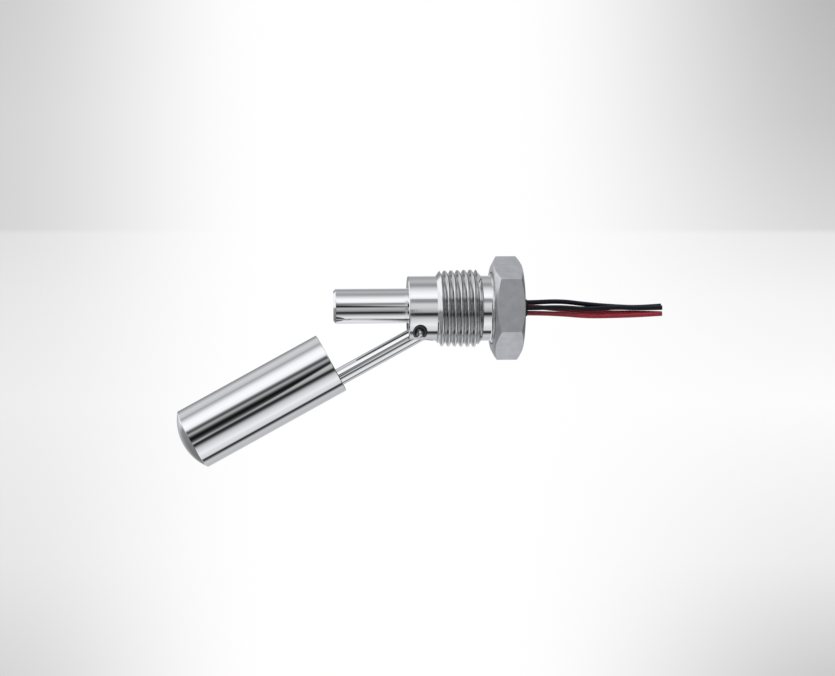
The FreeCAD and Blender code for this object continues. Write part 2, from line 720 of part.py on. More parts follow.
def rear_wire(label, side, lead):
    """The wire from a glass tube's rear end to its splice."""
    height = reed_height(side)
    start = glass_front() + dim("glass_length")
    bend, end = wire_tail(lead)
    fan_start = bend[0] - dim("wire_fan")
    points = ((start, 0, height), (fan_start, 0, height), bend, end)
    return add_solid(label, wire_solid(points))


def return_wire(label, side, lead):
    """The wire from a glass tube's front end, bent back beside the glass and on to its splice."""
    height = reed_height(side)
    start = glass_front()
    turn = start - dim("return_bend")
    bend, end = wire_tail(lead)
    beside = (dim("return_side"), return_height(side))
    points = (
        (start, 0, height),
        (turn, 0, height),
        (turn, *beside),
        (bend[0] - dim("wire_fan"), *beside),
        bend,
        end,
    )
    return add_solid(label, wire_solid(points))


def make_splice(label, lead):
    """The crimped splice between a wire of a reed contact and a lead."""
    side, height = LEAD_ROUTES[lead][0][1:]
    splice = doc.addObject("Part::Cylinder", label)
    splice.Label = label
    splice.setExpression("Radius", "Dim.splice_diameter / 2")
    splice.setExpression("Height", "Dim.splice_length")
    along = FreeCAD.Rotation(FreeCAD.Vector(0, 1, 0), 90)
    splice.Placement = FreeCAD.Placement(FreeCAD.Vector(splice_front(), side, height), along)
    nodes.append(splice)
    return splice


def make_leads():
    """The four insulated leads, each from its splice through the collar to its cut end."""
    for label, route in LEAD_ROUTES.items():
        solid, length, radii = tube(route, dim("lead_diameter"))
        print(f"{label}: length {length:.2f}, arc radii", ", ".join(f"{r:.1f}" for r in radii))
        add_solid(label, solid)


def hole_for(shape_of, gap):
    """The room that the resin or the collar leaves round a straight stretch of a lead or wire."""
    start, end, diameter = shape_of
    axis = end.sub(start)
    return Part.makeCylinder(diameter / 2 + gap, axis.Length, start, axis)


def make_resin():
    """The potting resin that fills the wiring chamber round the splices and the leads."""
    rear = chamber_rear()
    front = rear - dim("resin_length")
    axis = FreeCAD.Vector(1, 0, 0)
    block = Part.makeCylinder(
        dim("chamber_diameter") / 2 - dim("fill_gap"),
        dim("resin_length"),
        FreeCAD.Vector(front, 0, dim("stem_rise")),
        axis,
    )
    gap = dim("fill_gap")
    for route in LEAD_ROUTES.values():
        side, height = route[0][1:]
        before = FreeCAD.Vector(front - dim("resin_length"), side, height)
        splice_start = FreeCAD.Vector(splice_front(), side, height)
        lead_start = FreeCAD.Vector(dim("splice_back"), side, height)
        after = FreeCAD.Vector(rear + gap, side, height)
        for stretch in (
            (before, splice_start, dim("wire_diameter")),
            (splice_start, lead_start, dim("splice_diameter")),
            (lead_start, after, dim("lead_diameter")),
        ):
            block = block.cut(hole_for(stretch, gap))
    return add_solid("potting_resin", block)


def make_collar():
    """The black collar in the exit hole, with a hole for each lead."""
    rear = dim("hex_thickness") + dim("collar_proud")
    front = chamber_rear()
    axis = FreeCAD.Vector(1, 0, 0)
    radius = dim("exit_hole_diameter") / 2 - dim("collar_gap")
    block = Part.makeCylinder(radius, rear - front, FreeCAD.Vector(front, 0, 0), axis)
    for route in LEAD_ROUTES.values():
        start, end = (FreeCAD.Vector(*point) for point in route[:2])
        block = block.cut(hole_for((start, end, dim("lead_diameter")), dim("lead_hole_gap")))
    return add_solid("exit_collar", block)


make_threaded_plug()
make_stem_tube()
make_hinge_pin()
make_float_arm()
make_arm_magnet()
make_float_tube()
make_float_cap()
make_float_dome()
make_reed_carrier()
make_reed_glass("reed_glass_upper", 1)
make_reed_glass("reed_glass_lower", -1)
rear_wire("reed_wire_upper", 1, "lead_black_upper")
return_wire("return_wire_upper", 1, "lead_red_upper")
rear_wire("reed_wire_lower", -1, "lead_black_lower")
return_wire("return_wire_lower", -1, "lead_red_lower")
for lead in LEAD_ROUTES:
    make_splice(lead.replace("lead", "splice"), lead)
make_leads()
make_resin()
make_collar()

doc.recompute()
for item in doc.Objects:
    if "Invalid" in item.State or "Error" in item.State:
        raise RuntimeError(f"{item.Label} failed: {item.State}")
for node in nodes:
    if node.Shape.isNull() or not node.Shape.isValid() or not node.Shape.Solids:
        raise RuntimeError(f"{node.Label} has no valid solid")

os.makedirs("parts", exist_ok=True)
for node in nodes:
    node.Shape.exportStep(os.path.join("parts", f"{node.Label}.step"))
    box = node.Shape.BoundBox
    print(
        f"{node.Label}: {len(node.Shape.Solids)} solid, {node.Shape.Volume:.2f} mm3,"
        f" x {box.XMin:.2f} to {box.XMax:.2f}, y {box.YMin:.2f} to {box.YMax:.2f},"
        f" z {box.ZMin:.2f} to {box.ZMax:.2f}"
    )
print(len(nodes), "nodes")
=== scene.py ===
import json
import math

import bpy
from mathutils import Matrix, Vector


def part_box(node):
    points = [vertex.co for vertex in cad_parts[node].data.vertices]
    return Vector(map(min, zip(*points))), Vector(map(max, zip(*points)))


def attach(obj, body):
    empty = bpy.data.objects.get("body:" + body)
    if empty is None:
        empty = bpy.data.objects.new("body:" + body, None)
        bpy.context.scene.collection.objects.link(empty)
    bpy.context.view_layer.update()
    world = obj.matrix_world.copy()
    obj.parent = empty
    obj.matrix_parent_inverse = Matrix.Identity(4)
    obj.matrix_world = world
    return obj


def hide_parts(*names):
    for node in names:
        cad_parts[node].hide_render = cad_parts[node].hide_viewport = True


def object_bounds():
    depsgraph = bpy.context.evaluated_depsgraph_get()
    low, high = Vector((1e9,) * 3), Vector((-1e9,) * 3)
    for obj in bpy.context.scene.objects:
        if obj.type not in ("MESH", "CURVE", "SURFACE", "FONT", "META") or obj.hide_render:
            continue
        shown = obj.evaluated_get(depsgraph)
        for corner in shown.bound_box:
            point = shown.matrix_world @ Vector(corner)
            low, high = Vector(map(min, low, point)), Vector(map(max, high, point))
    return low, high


bl_info = {
    "name": "Horizontal Float Switch",
    "version": (1, 0, 0),
    "blender": (4, 5, 0),
    "location": "3D View > Sidebar > Float Switch",
    "description": "Dresses the packed float switch with turned steel, insulated leads and a small studio",
    "category": "Object",
}

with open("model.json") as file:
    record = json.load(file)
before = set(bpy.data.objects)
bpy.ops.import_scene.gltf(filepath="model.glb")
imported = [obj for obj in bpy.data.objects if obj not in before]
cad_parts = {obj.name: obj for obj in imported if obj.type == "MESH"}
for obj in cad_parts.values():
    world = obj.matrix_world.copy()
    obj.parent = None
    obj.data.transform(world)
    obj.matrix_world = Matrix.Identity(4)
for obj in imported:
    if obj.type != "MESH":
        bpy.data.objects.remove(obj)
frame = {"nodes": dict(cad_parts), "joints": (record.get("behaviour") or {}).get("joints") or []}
CAD_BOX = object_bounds()

MM = 0.001
PLUG = "plug"
FLOAT = "float"
SEGMENTS = 192
ARC_STEPS = 5
POLISH = 0.8
LEAD_RADIUS = 0.525 * MM

# The hinge and the arm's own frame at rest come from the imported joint: at its upper limit the arm is
# level, so that limit is also the arm's slope at rest.
HINGE = frame["joints"][0]
PIVOT = Vector(HINGE["pos_m"])
ARM_SLOPE = math.radians(HINGE["range_deg"][1])
ARM_FRAME = Matrix.Translation(PIVOT) @ Matrix.Rotation(-ARM_SLOPE, 4, "Y")


def box_in(node, matrix):
    """A node's lowest and highest corners, measured along the axes of a frame."""
    inverse = matrix.inverted()
    points = [inverse @ vertex.co for vertex in frame["nodes"][node].data.vertices]
    low = Vector(min(p[i] for p in points) for i in range(3))
    high = Vector(max(p[i] for p in points) for i in range(3))
    return low, high


PLUG_LOW, PLUG_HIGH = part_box("threaded_plug")
STEM_LOW, STEM_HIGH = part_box("stem_tube")
PIN_LOW, PIN_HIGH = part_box("hinge_pin")
COLLAR_LOW, COLLAR_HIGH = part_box("exit_collar")
ARM_LOW, ARM_HIGH = box_in("float_arm", ARM_FRAME)
TUBE_LOW, TUBE_HIGH = box_in("float_tube", ARM_FRAME)
CAP_LOW, CAP_HIGH = box_in("float_cap", ARM_FRAME)
DOME_LOW, DOME_HIGH = box_in("float_dome", ARM_FRAME)

NOSE_FRONT = PLUG_LOW.x
HEX_REAR = PLUG_HIGH.x
ACROSS_FLATS = PLUG_HIGH.y - PLUG_LOW.y
FLOAT_AXIS_RISE = (TUBE_LOW.z + TUBE_HIGH.z) / 2

# The middle of the round end of the arm's slot, and how far the recesses' floors are from the middle.
SLOT_END = Vector((PIVOT.x + 1.6 * MM, 0.0, 0.0))
RECESS_FLOOR = 3.2 * MM

# The leads' routes, as in the part's source, in metres.
LEAD_ROUTES = {
    "lead_black_upper": (
        (0.0025, -0.00025, 0.00114),
        (0.0089, -0.00025, 0.00114),
        (0.0154, 0.0001, 0.00145),
        (0.0214, 0.00042, 0.00068),
        (0.0274, 0.00055, 0.00018),
        (0.0331, 0.0005, -0.00012),
        (0.0381, 0.00042, 0.00024),
    ),
    "lead_red_upper": (
        (0.0025, 0.0008, 0.00038),
        (0.0089, 0.0008, 0.00038),
        (0.0154, 0.00105, -0.00035),
        (0.0214, 0.00108, -0.001),
        (0.0274, 0.00098, -0.0012),
        (0.0331, 0.00084, -0.00124),
        (0.0381, 0.00078, -0.00146),
    ),
    "lead_black_lower": (
        (0.0025, -0.0005, -0.0001),
        (0.0089, -0.0005, -0.0001),
        (0.0154, -0.00066, 0.00006),
        (0.0214, -0.00072, -0.0005),
        (0.0274, -0.00064, -0.00006),
        (0.0331, -0.00062, -0.00034),
        (0.0381, -0.0006, -0.00022),
    ),
    "lead_red_lower": (
        (0.0025, 0.00022, -0.00114),
        (0.0089, 0.00022, -0.00114),
        (0.0154, 0.0, -0.00142),
        (0.0214, -0.0002, -0.002),
        (0.0274, -0.0003, -0.00195),
        (0.0331, -0.00036, -0.00182),
        (0.0381, -0.00038, -0.00154),
    ),
}


class PlugSizes(bpy.types.PropertyGroup):
    """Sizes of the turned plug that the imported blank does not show"""

    pitch: bpy.props.FloatProperty(
        name="Thread pitch", description="Distance between neighbouring crests",
        default=1.4111 * MM, unit="LENGTH", precision=4,
    )
    thread_front: bpy.props.FloatProperty(
        name="Thread front", description="Front end of the thread along the plug's axis",
        default=-12.35 * MM, unit="LENGTH", precision=4,
    )
    thread_rear: bpy.props.FloatProperty(
        name="Thread rear", description="Rear end of the thread along the plug's axis",
        default=-2.35 * MM, unit="LENGTH", precision=4,
    )
    crest_radius: bpy.props.FloatProperty(
        name="Crest radius", description="Radius of the crests at the thread's front end",
        default=8.375 * MM, unit="LENGTH", precision=4,
    )
    core_radius: bpy.props.FloatProperty(
        name="Core radius", description="Radius of the nose and of the undercut",
        default=7.2 * MM, unit="LENGTH", precision=4,
    )
    slot_width: bpy.props.FloatProperty(
        name="Slot width", description="Width of the arm's slot in the nose",
        default=4.1 * MM, unit="LENGTH", precision=4,
    )
    recess_radius: bpy.props.FloatProperty(
        name="Recess radius", description="Radius of the recess round each end of the hinge pin",
        default=1.6 * MM, unit="LENGTH", precision=4,
    )


class SteelFinish(bpy.types.PropertyGroup):
    """Colours of the metal and of the leads"""

    polished: bpy.props.FloatVectorProperty(
        name="Polished steel", description="Reflection colour of the polished parts",
        subtype="COLOR", size=3, min=0.0, max=1.0, default=(POLISH, POLISH, POLISH),
    )
    satin: bpy.props.FloatVectorProperty(
        name="Satin steel", description="Reflection colour of the hexagon",
        subtype="COLOR", size=3, min=0.0, max=1.0, default=(0.74, 0.752, 0.77),
    )
    black_lead: bpy.props.FloatVectorProperty(
        name="Black lead", description="Insulation of the two black leads",
        subtype="COLOR", size=3, min=0.0, max=1.0, default=(0.002, 0.0045, 0.009),
    )
    red_lead: bpy.props.FloatVectorProperty(
        name="Red lead", description="Insulation of the two red leads",
        subtype="COLOR", size=3, min=0.0, max=1.0, default=(0.36, 0.016, 0.03),
    )


class StudioSettings(bpy.types.PropertyGroup):
    """The camera's place and the light"""

    distance: bpy.props.FloatProperty(
        name="Camera distance", description="From the camera to the plug's axis",
        default=0.309, unit="LENGTH",
    )
    yaw: bpy.props.FloatProperty(
        name="Camera yaw", description="How far the camera turns from the Y axis",
        default=math.radians(3.4), subtype="ANGLE",
    )
    rise: bpy.props.FloatProperty(
        name="Camera rise", description="How far the camera looks up",
        default=math.radians(2.0), subtype="ANGLE",
    )
    roll: bpy.props.FloatProperty(
        name="Camera roll", description="How far the camera is tipped clockwise",
        default=math.radians(0.64), subtype="ANGLE",
    )
    lamp_power: bpy.props.FloatProperty(
        name="Lamp power", description="Power of the large softbox above the object",
        default=2.2, min=0.0, unit="POWER",
    )


# Mesh code


class Shell:
    """Faces gathered for one piece. Each corner of a face has its own true normal."""

    def __init__(self):
        self.points = []
        self.index = {}
        self.faces = []
        self.normals = []
        self.finishes = []

    def point(self, place):
        """The number of a point, which is added when it is new."""
        key = tuple(round(c, 8) for c in place)
        if key not in self.index:
            self.index[key] = len(self.points)
            self.points.append(Vector(place))
        return self.index[key]

    def face(self, corners, finish=0):
        """One face from (place, normal) corners, turned so that it looks the way of its normals."""
        kept = []
        for place, normal in corners:
            index = self.point(place)
            if index not in [k[0] for k in kept]:
                kept.append((index, normal))
        if len(kept) < 3:
            return
        a, b, c = (self.points[k[0]] for k in kept[:3])
        facing = (b - a).cross(c - a)
        if len(kept) > 3:
            facing += (c - a).cross(self.points[kept[3][0]] - a)
        if facing.length < 1e-14:
            return
        if facing.dot(sum((k[1] for k in kept), Vector())) < 0:
            kept.reverse()
        self.faces.append([k[0] for k in kept])
        self.normals.extend(k[1].normalized() for k in kept)
        self.finishes.append(finish)

    def strip(self, first, second, finish=0):
        """A band of faces between two rows of (place, normal) corners. The finish may go by place."""
        for i in range(len(first) - 1):
            chosen = finish(second[i][0]) if callable(finish) else finish
            self.face((first[i], first[i + 1], second[i + 1], second[i]), chosen)

    def piece(self, name, materials, body, replaced, slot, matrix=Matrix.Identity(4)):
        """The finished object, placed and tied to its body."""
        turn = matrix.to_3x3()
        mesh = bpy.data.meshes.new(name)
        mesh.from_pydata([matrix @ p for p in self.points], [], self.faces)
        for material in materials:
            mesh.materials.append(material)
        mesh.polygons.foreach_set("material_index", self.finishes)
        mesh.polygons.foreach_set("use_smooth", [True] * len(self.faces))
        mesh.normals_split_custom_set([turn @ n for n in self.normals])
        return tie(name, mesh, body, replaced)


def tie(name, mesh, body, replaced):
    """An object for a mesh, riding on its body and standing for its CAD nodes."""
    piece = bpy.data.objects.new(name, mesh)
    bpy.context.scene.collection.objects.link(piece)
    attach(piece, body)
    if replaced:
        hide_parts(*replaced)
    return piece


def rounded_profile(corners):
    """Spans of a turned profile from (x, radius, rounding) corners. Each end of a span is (place, normal)."""
    flat = [Vector((x, r)) for x, r, _ in corners]
    start = flat[0]
    spans = []
    for i in range(1, len(corners)):
        direction = (flat[i] - flat[i - 1]).normalized()
        normal = Vector((-direction.y, direction.x))
        rounding = corners[i][2] if i < len(corners) - 1 else 0
        if not rounding:
            spans.append(((start, normal), (flat[i], normal)))
            start = flat[i]
            continue
        onward = (flat[i + 1] - flat[i]).normalized()
        next_normal = Vector((-onward.y, onward.x))
        turn = direction.angle_signed(onward)
        side = 1 if turn > 0 else -1
        reach = rounding * math.tan(abs(turn) / 2)
        arc_start = flat[i] - direction * reach
        centre = arc_start - normal * rounding * side
        spans.append(((start, normal), (arc_start, normal)))
        before = (arc_start, normal)
        for step in range(1, ARC_STEPS + 1):
            blend = step / ARC_STEPS
            mixed = normal * math.sin(abs(turn) * (1 - blend)) + next_normal * math.sin(abs(turn) * blend)
            mixed.normalize()
            after = (centre + mixed * rounding * side, mixed)
            spans.append((before, after))
            before = after
        start = before[0]
    return spans


def turned_corner(station, angle, centre=(0.0, 0.0)):
    """The (place, normal) of a profile point turned about the X axis."""
    (x, radius), normal = station
    cosine, sine = math.cos(angle), math.sin(angle)
    place = Vector((x, centre[0] + radius * cosine, centre[1] + radius * sine))
    return place, Vector((normal.x, normal.y * cosine, normal.y * sine))


def turn(shell, corners, centre=(0.0, 0.0), finish=0, segments=SEGMENTS):
    """Revolves a profile about an axis along X through a (y, z) centre."""
    angles = [2 * math.pi * i / segments for i in range(segments)] + [0.0]
    for start, end in rounded_profile(corners):
        first = [turned_corner(start, a, centre) for a in angles]
        second = [turned_corner(end, a, centre) for a in angles]
        shell.strip(first, second, finish)


# Materials


def add_node(nodes, kind, **settings):
    """A node with its properties set."""
    node = nodes.new(kind)
    for key, value in settings.items():
        setattr(node, key, value)
    return node


class Wiring:
    """A node tree with short ways to add common nodes. Values are sockets or plain numbers."""

    def __init__(self, tree):
        self.nodes = tree.nodes
        self.links = tree.links

    def feed(self, socket, value):
        """Links a value to a socket, or sets it there."""
        if isinstance(value, bpy.types.NodeSocket):
            self.links.new(value, socket)
        else:
            socket.default_value = value

    def calc(self, operation, first, second=None, third=None, clamp=False):
        """A math node."""
        node = add_node(self.nodes, "ShaderNodeMath", operation=operation, use_clamp=clamp)
        for socket, value in zip(node.inputs, (first, second, third)):
            if value is not None:
                self.feed(socket, value)
        return node.outputs[0]

    def both(self, first, second):
        """The product of two masks."""
        return self.calc("MULTIPLY", first, second)

    def step(self, value, low, high):
        """0 at low and 1 at high, smooth between."""
        node = add_node(self.nodes, "ShaderNodeMapRange", interpolation_type="SMOOTHSTEP")
        node.inputs["From Min"].default_value = low
        node.inputs["From Max"].default_value = high
        self.feed(node.inputs["Value"], value)
        return node.outputs["Result"]

    def mix(self, share, first, second):
        """The first colour, which gives way to the second as the share grows."""
        node = add_node(self.nodes, "ShaderNodeMix", data_type="RGBA")
        for socket, value in ((node.inputs[0], share), (node.inputs[6], first), (node.inputs[7], second)):
            self.feed(socket, value)
        return node.outputs[2]

    def ramp(self, value, stops):
        """A colour ramp through (position, colour) stops."""
        node = self.nodes.new("ShaderNodeValToRGB")
        elements = node.color_ramp.elements
        for i, (position, colour) in enumerate(stops):
            element = elements[i] if i < 2 else elements.new(position)
            element.position = position
            element.color = colour
        self.feed(node.inputs[0], value)
        return node.outputs[0]

    def bump(self, shader, height, strength):
        """Feeds a height into a shader's normal."""
        node = self.nodes.new("ShaderNodeBump")
        node.inputs["Strength"].default_value = strength
        node.inputs["Distance"].default_value = 0.02 * MM
        self.feed(node.inputs["Height"], height)
        self.feed(shader.inputs["Normal"], node.outputs["Normal"])


def new_material(name):
    """A node material, its wiring and its Principled BSDF."""
    material = bpy.data.materials.new(name)
    material.use_nodes = True
    wires = Wiring(material.node_tree)
    return material, wires, wires.nodes["Principled BSDF"]


def new_group(name, inputs, outputs):
    """A shader node group with named sockets."""
    group = bpy.data.node_groups.new(name, "ShaderNodeTree")
    for label, kind, default in inputs:
        socket = group.interface.new_socket(label, in_out="INPUT", socket_type=kind)
        if default is not None:
            socket.default_value = default
    for label, kind in outputs:
        group.interface.new_socket(label, in_out="OUTPUT", socket_type=kind)
    return group, group.nodes.new("NodeGroupInput"), group.nodes.new("NodeGroupOutput")


def tool_marks_group():
    """Fine lines left by a lathe or a polishing belt, stretched along one axis of the coordinates."""
    group, given, result = new_group(
        "Tool Marks",
        (
            ("Vector", "NodeSocketVector", None),
            ("Stretch", "NodeSocketVector", (1.0, 1.0, 1.0)),
            ("Scale", "NodeSocketFloat", 1000.0),
            ("Low", "NodeSocketFloat", 0.05),
            ("High", "NodeSocketFloat", 0.12),
        ),
        (("Height", "NodeSocketFloat"), ("Roughness", "NodeSocketFloat")),
    )
    stretch = add_node(group.nodes, "ShaderNodeVectorMath", operation="MULTIPLY")
    noise = add_node(group.nodes, "ShaderNodeTexNoise")
    noise.inputs["Detail"].default_value = 3.0
    spread = add_node(group.nodes, "ShaderNodeMapRange")
    spread.inputs["From Min"].default_value = 0.3
    spread.inputs["From Max"].default_value = 0.7
    link = group.links.new
    link(given.outputs["Vector"], stretch.inputs[0])
    link(given.outputs["Stretch"], stretch.inputs[1])
    link(stretch.outputs[0], noise.inputs["Vector"])
    link(given.outputs["Scale"], noise.inputs["Scale"])
    link(noise.outputs["Fac"], spread.inputs["Value"])
    link(given.outputs["Low"], spread.inputs["To Min"])
    link(given.outputs["High"], spread.inputs["To Max"])
    link(noise.outputs["Fac"], result.inputs["Height"])
    link(spread.outputs["Result"], result.inputs["Roughness"])
    return group


def grain_group():
    """A fine even grain, with a slow mottle of the colour over it."""
    group, given, result = new_group(
        "Grain",
        (
            ("Vector", "NodeSocketVector", None),
            ("Colour", "NodeSocketColor", (0.6, 0.6, 0.6, 1.0)),
            ("Scale", "NodeSocketFloat", 4000.0),
            ("Mottle Scale", "NodeSocketFloat", 500.0),
            ("Mottle", "NodeSocketFloat", 0.1),
        ),
        (("Color", "NodeSocketColor"), ("Height", "NodeSocketFloat")),
    )
    grain = add_node(group.nodes, "ShaderNodeTexNoise")
    grain.inputs["Detail"].default_value = 4.0
    mottle = add_node(group.nodes, "ShaderNodeTexNoise")
    mottle.inputs["Detail"].default_value = 5.0
    level = add_node(group.nodes, "ShaderNodeMapRange")
    level.inputs["From Min"].default_value = 0.35
    level.inputs["From Max"].default_value = 0.65
    level.inputs["To Max"].default_value = 1.0
    darker = add_node(group.nodes, "ShaderNodeMath", operation="SUBTRACT")
    darker.inputs[0].default_value = 1.0
    tint = add_node(group.nodes, "ShaderNodeVectorMath", operation="SCALE")
    link = group.links.new
    link(given.outputs["Vector"], grain.inputs["Vector"])
    link(given.outputs["Vector"], mottle.inputs["Vector"])
    link(given.outputs["Scale"], grain.inputs["Scale"])
    link(given.outputs["Mottle Scale"], mottle.inputs["Scale"])
    link(mottle.outputs["Fac"], level.inputs["Value"])
    link(given.outputs["Mottle"], darker.inputs[1])
    link(darker.outputs[0], level.inputs["To Min"])
    link(given.outputs["Colour"], tint.inputs[0])
    link(level.outputs["Result"], tint.inputs["Scale"])
    link(tint.outputs[0], result.inputs["Color"])
    link(grain.outputs["Fac"], result.inputs["Height"])
    return group


GROUPS = {}


def group_node(nodes, maker):
    """A node of a shared group, which is made the first time it is asked for."""
    if maker.__name__ not in GROUPS:
        GROUPS[maker.__name__] = maker()
    node = nodes.new("ShaderNodeGroup")
    node.node_tree = GROUPS[maker.__name__]
    return node


def machined_steel(name, colour, low, high, stretch, strength, slope=0.0):
    """Steel with fine tool marks and a roughness from low to high along them."""
    material, wires, shader = new_material(name)
    shader.inputs["Base Color"].default_value = (*colour, 1.0)
    shader.inputs["Metallic"].default_value = 1.0
    level = wires.nodes.new("ShaderNodeMapping")
    level.inputs["Rotation"].default_value = (0.0, slope, 0.0)
    marks = group_node(wires.nodes, tool_marks_group)
    for label, value in (("Stretch", stretch), ("Scale", 1000.0), ("Low", low), ("High", high)):
        marks.inputs[label].default_value = value
    wires.feed(level.inputs["Vector"], wires.nodes.new("ShaderNodeTexCoord").outputs["Object"])
    wires.feed(marks.inputs["Vector"], level.outputs["Vector"])
    wires.feed(shader.inputs["Roughness"], marks.outputs["Roughness"])
    wires.bump(shader, marks.outputs["Height"], strength)
    return material


def grained(name, colour, metallic, roughness, strength, mottle, scale=4000.0, specular=0.5):
    """A finish with a fine grain: satin steel, moulded plastic, resin or insulation."""
    material, wires, shader = new_material(name)
    shader.inputs["Metallic"].default_value = metallic
    shader.inputs["Roughness"].default_value = roughness
    shader.inputs["Specular IOR Level"].default_value = specular
    grain = group_node(wires.nodes, grain_group)
    for label, value in (("Colour", (*colour, 1.0)), ("Scale", scale), ("Mottle", mottle)):
        grain.inputs[label].default_value = value
    wires.feed(grain.inputs["Vector"], wires.nodes.new("ShaderNodeTexCoord").outputs["Object"])
    wires.feed(shader.inputs["Base Color"], grain.outputs["Color"])
    wires.bump(shader, grain.outputs["Height"], strength)
    return material


def clear_glass(name):
    """Thin greenish glass."""
    material = grained(name, (0.75, 0.9, 0.8), 0.0, 0.05, 0.02, 0.05)
    shader = material.node_tree.nodes["Principled BSDF"]
    shader.inputs["Transmission Weight"].default_value = 0.9
    shader.inputs["IOR"].default_value = 1.5
    return material


# How tool marks are squeezed along X, Y and Z: they run long where the number is small.
MARKS_ALONG = (0.02, 1.0, 1.0)
MARKS_ROUND = (4.0, 0.05, 0.05)
MARKS_IN_THREAD = (1.0, 0.05, 0.05)
MATERIALS = {}


def steel_finish():
    """The user's colours for the metal and the leads."""
    return bpy.context.scene.steel_finish


MATERIAL_MAKERS = {
    "turned steel": lambda: machined_steel(
        "turned steel", steel_finish().polished, 0.015, 0.045, MARKS_ROUND, 0.03
    ),
    # Painted shade: the thread's flanks and roots take the polished colour darkened to 0.7, while its crests
    # and front bevel keep the turned steel's full colour.
    "threaded steel": lambda: machined_steel(
        "threaded steel", [c * 0.7 for c in steel_finish().polished], 0.02, 0.06, MARKS_IN_THREAD, 0.03
    ),
    "polished steel": lambda: machined_steel(
        "polished steel", steel_finish().polished, 0.01, 0.04, MARKS_ALONG, 0.03
    ),
    # Painted shade: the hinge pin's steel is a little darker than the polished steel, standing in for the
    # shade of the recess it sits in.
    "pin steel": lambda: grained("pin steel", (0.72, 0.72, 0.73), 1.0, 0.1, 0.05, 0.1),
    "float steel": lambda: machined_steel(
        "float steel", steel_finish().polished, 0.01, 0.045, MARKS_ALONG, 0.06, slope=ARM_SLOPE
    ),
    "satin steel": lambda: grained("satin steel", steel_finish().satin, 1.0, 0.42, 0.25, 0.12),
    # Painted shade: the recesses round the pin's ends are a dark, rough steel whose darkness stands in for
    # the shade inside them.
    "recess shade steel": lambda: grained("recess shade steel", (0.22, 0.22, 0.225), 1.0, 0.4, 0.3, 0.2),
    "black lead": lambda: grained(
        "black lead", steel_finish().black_lead, 0.0, 0.42, 0.08, 0.3, specular=0.28
    ),
    "red lead": lambda: grained("red lead", steel_finish().red_lead, 0.0, 0.32, 0.08, 0.25),
    "black collar": lambda: grained(
        "black collar", (0.004, 0.004, 0.005), 0.0, 0.55, 0.2, 0.3, specular=0.25
    ),
    "black resin": lambda: grained("black resin", (0.01, 0.01, 0.01), 0.0, 0.2, 0.1, 0.3, 1500.0),
    "insulator": lambda: grained("insulator", (0.8, 0.77, 0.68), 0.0, 0.45, 0.15, 0.06),
    "tinned wire": lambda: grained("tinned wire", (0.72, 0.72, 0.7), 1.0, 0.28, 0.2, 0.15),
    "crimped copper": lambda: grained("crimped copper", (0.78, 0.45, 0.27), 1.0, 0.3, 0.3, 0.25),
    "magnet": lambda: grained("magnet", (0.12, 0.12, 0.13), 0.6, 0.5, 0.4, 0.3),
    "contact glass": lambda: clear_glass("contact glass"),
}


def finish(name):
    """A finish by name, made once."""
    if name not in MATERIALS:
        MATERIALS[name] = MATERIAL_MAKERS[name]()
    return MATERIALS[name]


# The plug


def thread_radius(sizes, place):
    """Crest radius of the taper thread at a place along the axis."""
    return sizes.crest_radius + (place - sizes.thread_front) / 32


def add_thread(shell, sizes):
    """The right-hand V thread on a taper, with rounded crests and roots and a bevel at each end."""
    pitch = sizes.pitch
    flank = math.radians(60)
    crest_rounding = 0.28 * MM
    root_rounding = 0.14 * MM
    depth = math.tan(flank) * pitch / 2 - crest_rounding - root_rounding
    crest_on_top = -9.283 * MM
    # Where each end's bevel starts, the way it rises and how steeply.
    bevels = ((sizes.thread_front, 1, 1.35), (sizes.thread_rear, -1, 1.2))

    def cut(phase):
        """Depth below the crest and fall per length at a phase of the thread, 0 on a crest."""
        side = phase - round(phase)
        away = abs(side) * pitch
        inward = pitch / 2 - away
        if away < crest_rounding * math.sin(flank):
            rise = math.sqrt(crest_rounding**2 - away**2)
            return crest_rounding - rise, math.copysign(away / rise, side)
        if inward < root_rounding * math.sin(flank):
            rise = math.sqrt(root_rounding**2 - inward**2)
            return depth - root_rounding + rise, math.copysign(inward / rise, side)
        return math.tan(flank) * away - crest_rounding, math.copysign(math.tan(flank), side)

    def corner(along, angle):
        """A corner of the thread, from where its row starts along the axis and the angle round it."""
        place = along + pitch * angle / (2 * math.pi)
        place = min(max(place, sizes.thread_front), sizes.thread_rear)
        drop, fall = cut((along - crest_on_top) / pitch)
        radius = thread_radius(sizes, place) - drop
        slope = -fall
        for end, way, steep in bevels:
            limit = sizes.core_radius + steep * way * (place - end)
            if limit < radius:
                radius, slope = limit, steep * way
        cosine, sine = math.cos(angle), math.sin(angle)
        normal = Vector((-slope, cosine, sine)).normalized()
        return Vector((place, radius * cosine, radius * sine)), normal

    turns = [math.sin(flank * step / 3) for step in range(-3, 4)]
    phases = [crest_rounding * t / pitch % 1 for t in turns]
    phases += [0.5 + root_rounding * t / pitch for t in turns]
    on_flanks = [0.22, 0.32, 0.68, 0.78]
    phases += on_flanks
    phases.sort()
    first_turn = math.floor((sizes.thread_front - pitch - crest_on_top) / pitch)
    last_turn = math.ceil((sizes.thread_rear - crest_on_top) / pitch)
    rows = [
        crest_on_top + pitch * (turn_number + phase)
        for turn_number in range(first_turn, last_turn)
        for phase in phases
    ]
    angles = [2 * math.pi * i / SEGMENTS for i in range(SEGMENTS + 1)]
    rim = sizes.thread_front + (sizes.crest_radius - sizes.core_radius) / bevels[0][2]
    for low, high in zip(rows, rows[1:]):
        phase = ((low + high) / 2 - crest_on_top) / pitch
        on_crest = abs(phase - round(phase)) * pitch < crest_rounding * math.sin(flank)
        # Crests and the front bevel take the turned steel (0), and the flanks and roots take the darker
        # threaded steel (3), which is painted shade in the thread's grooves.
        shell.strip(
            [corner(low, a) for a in angles],
            [corner(high, a) for a in angles],
            lambda place, bright=on_crest: 0 if bright or place.x < rim else 3,
        )


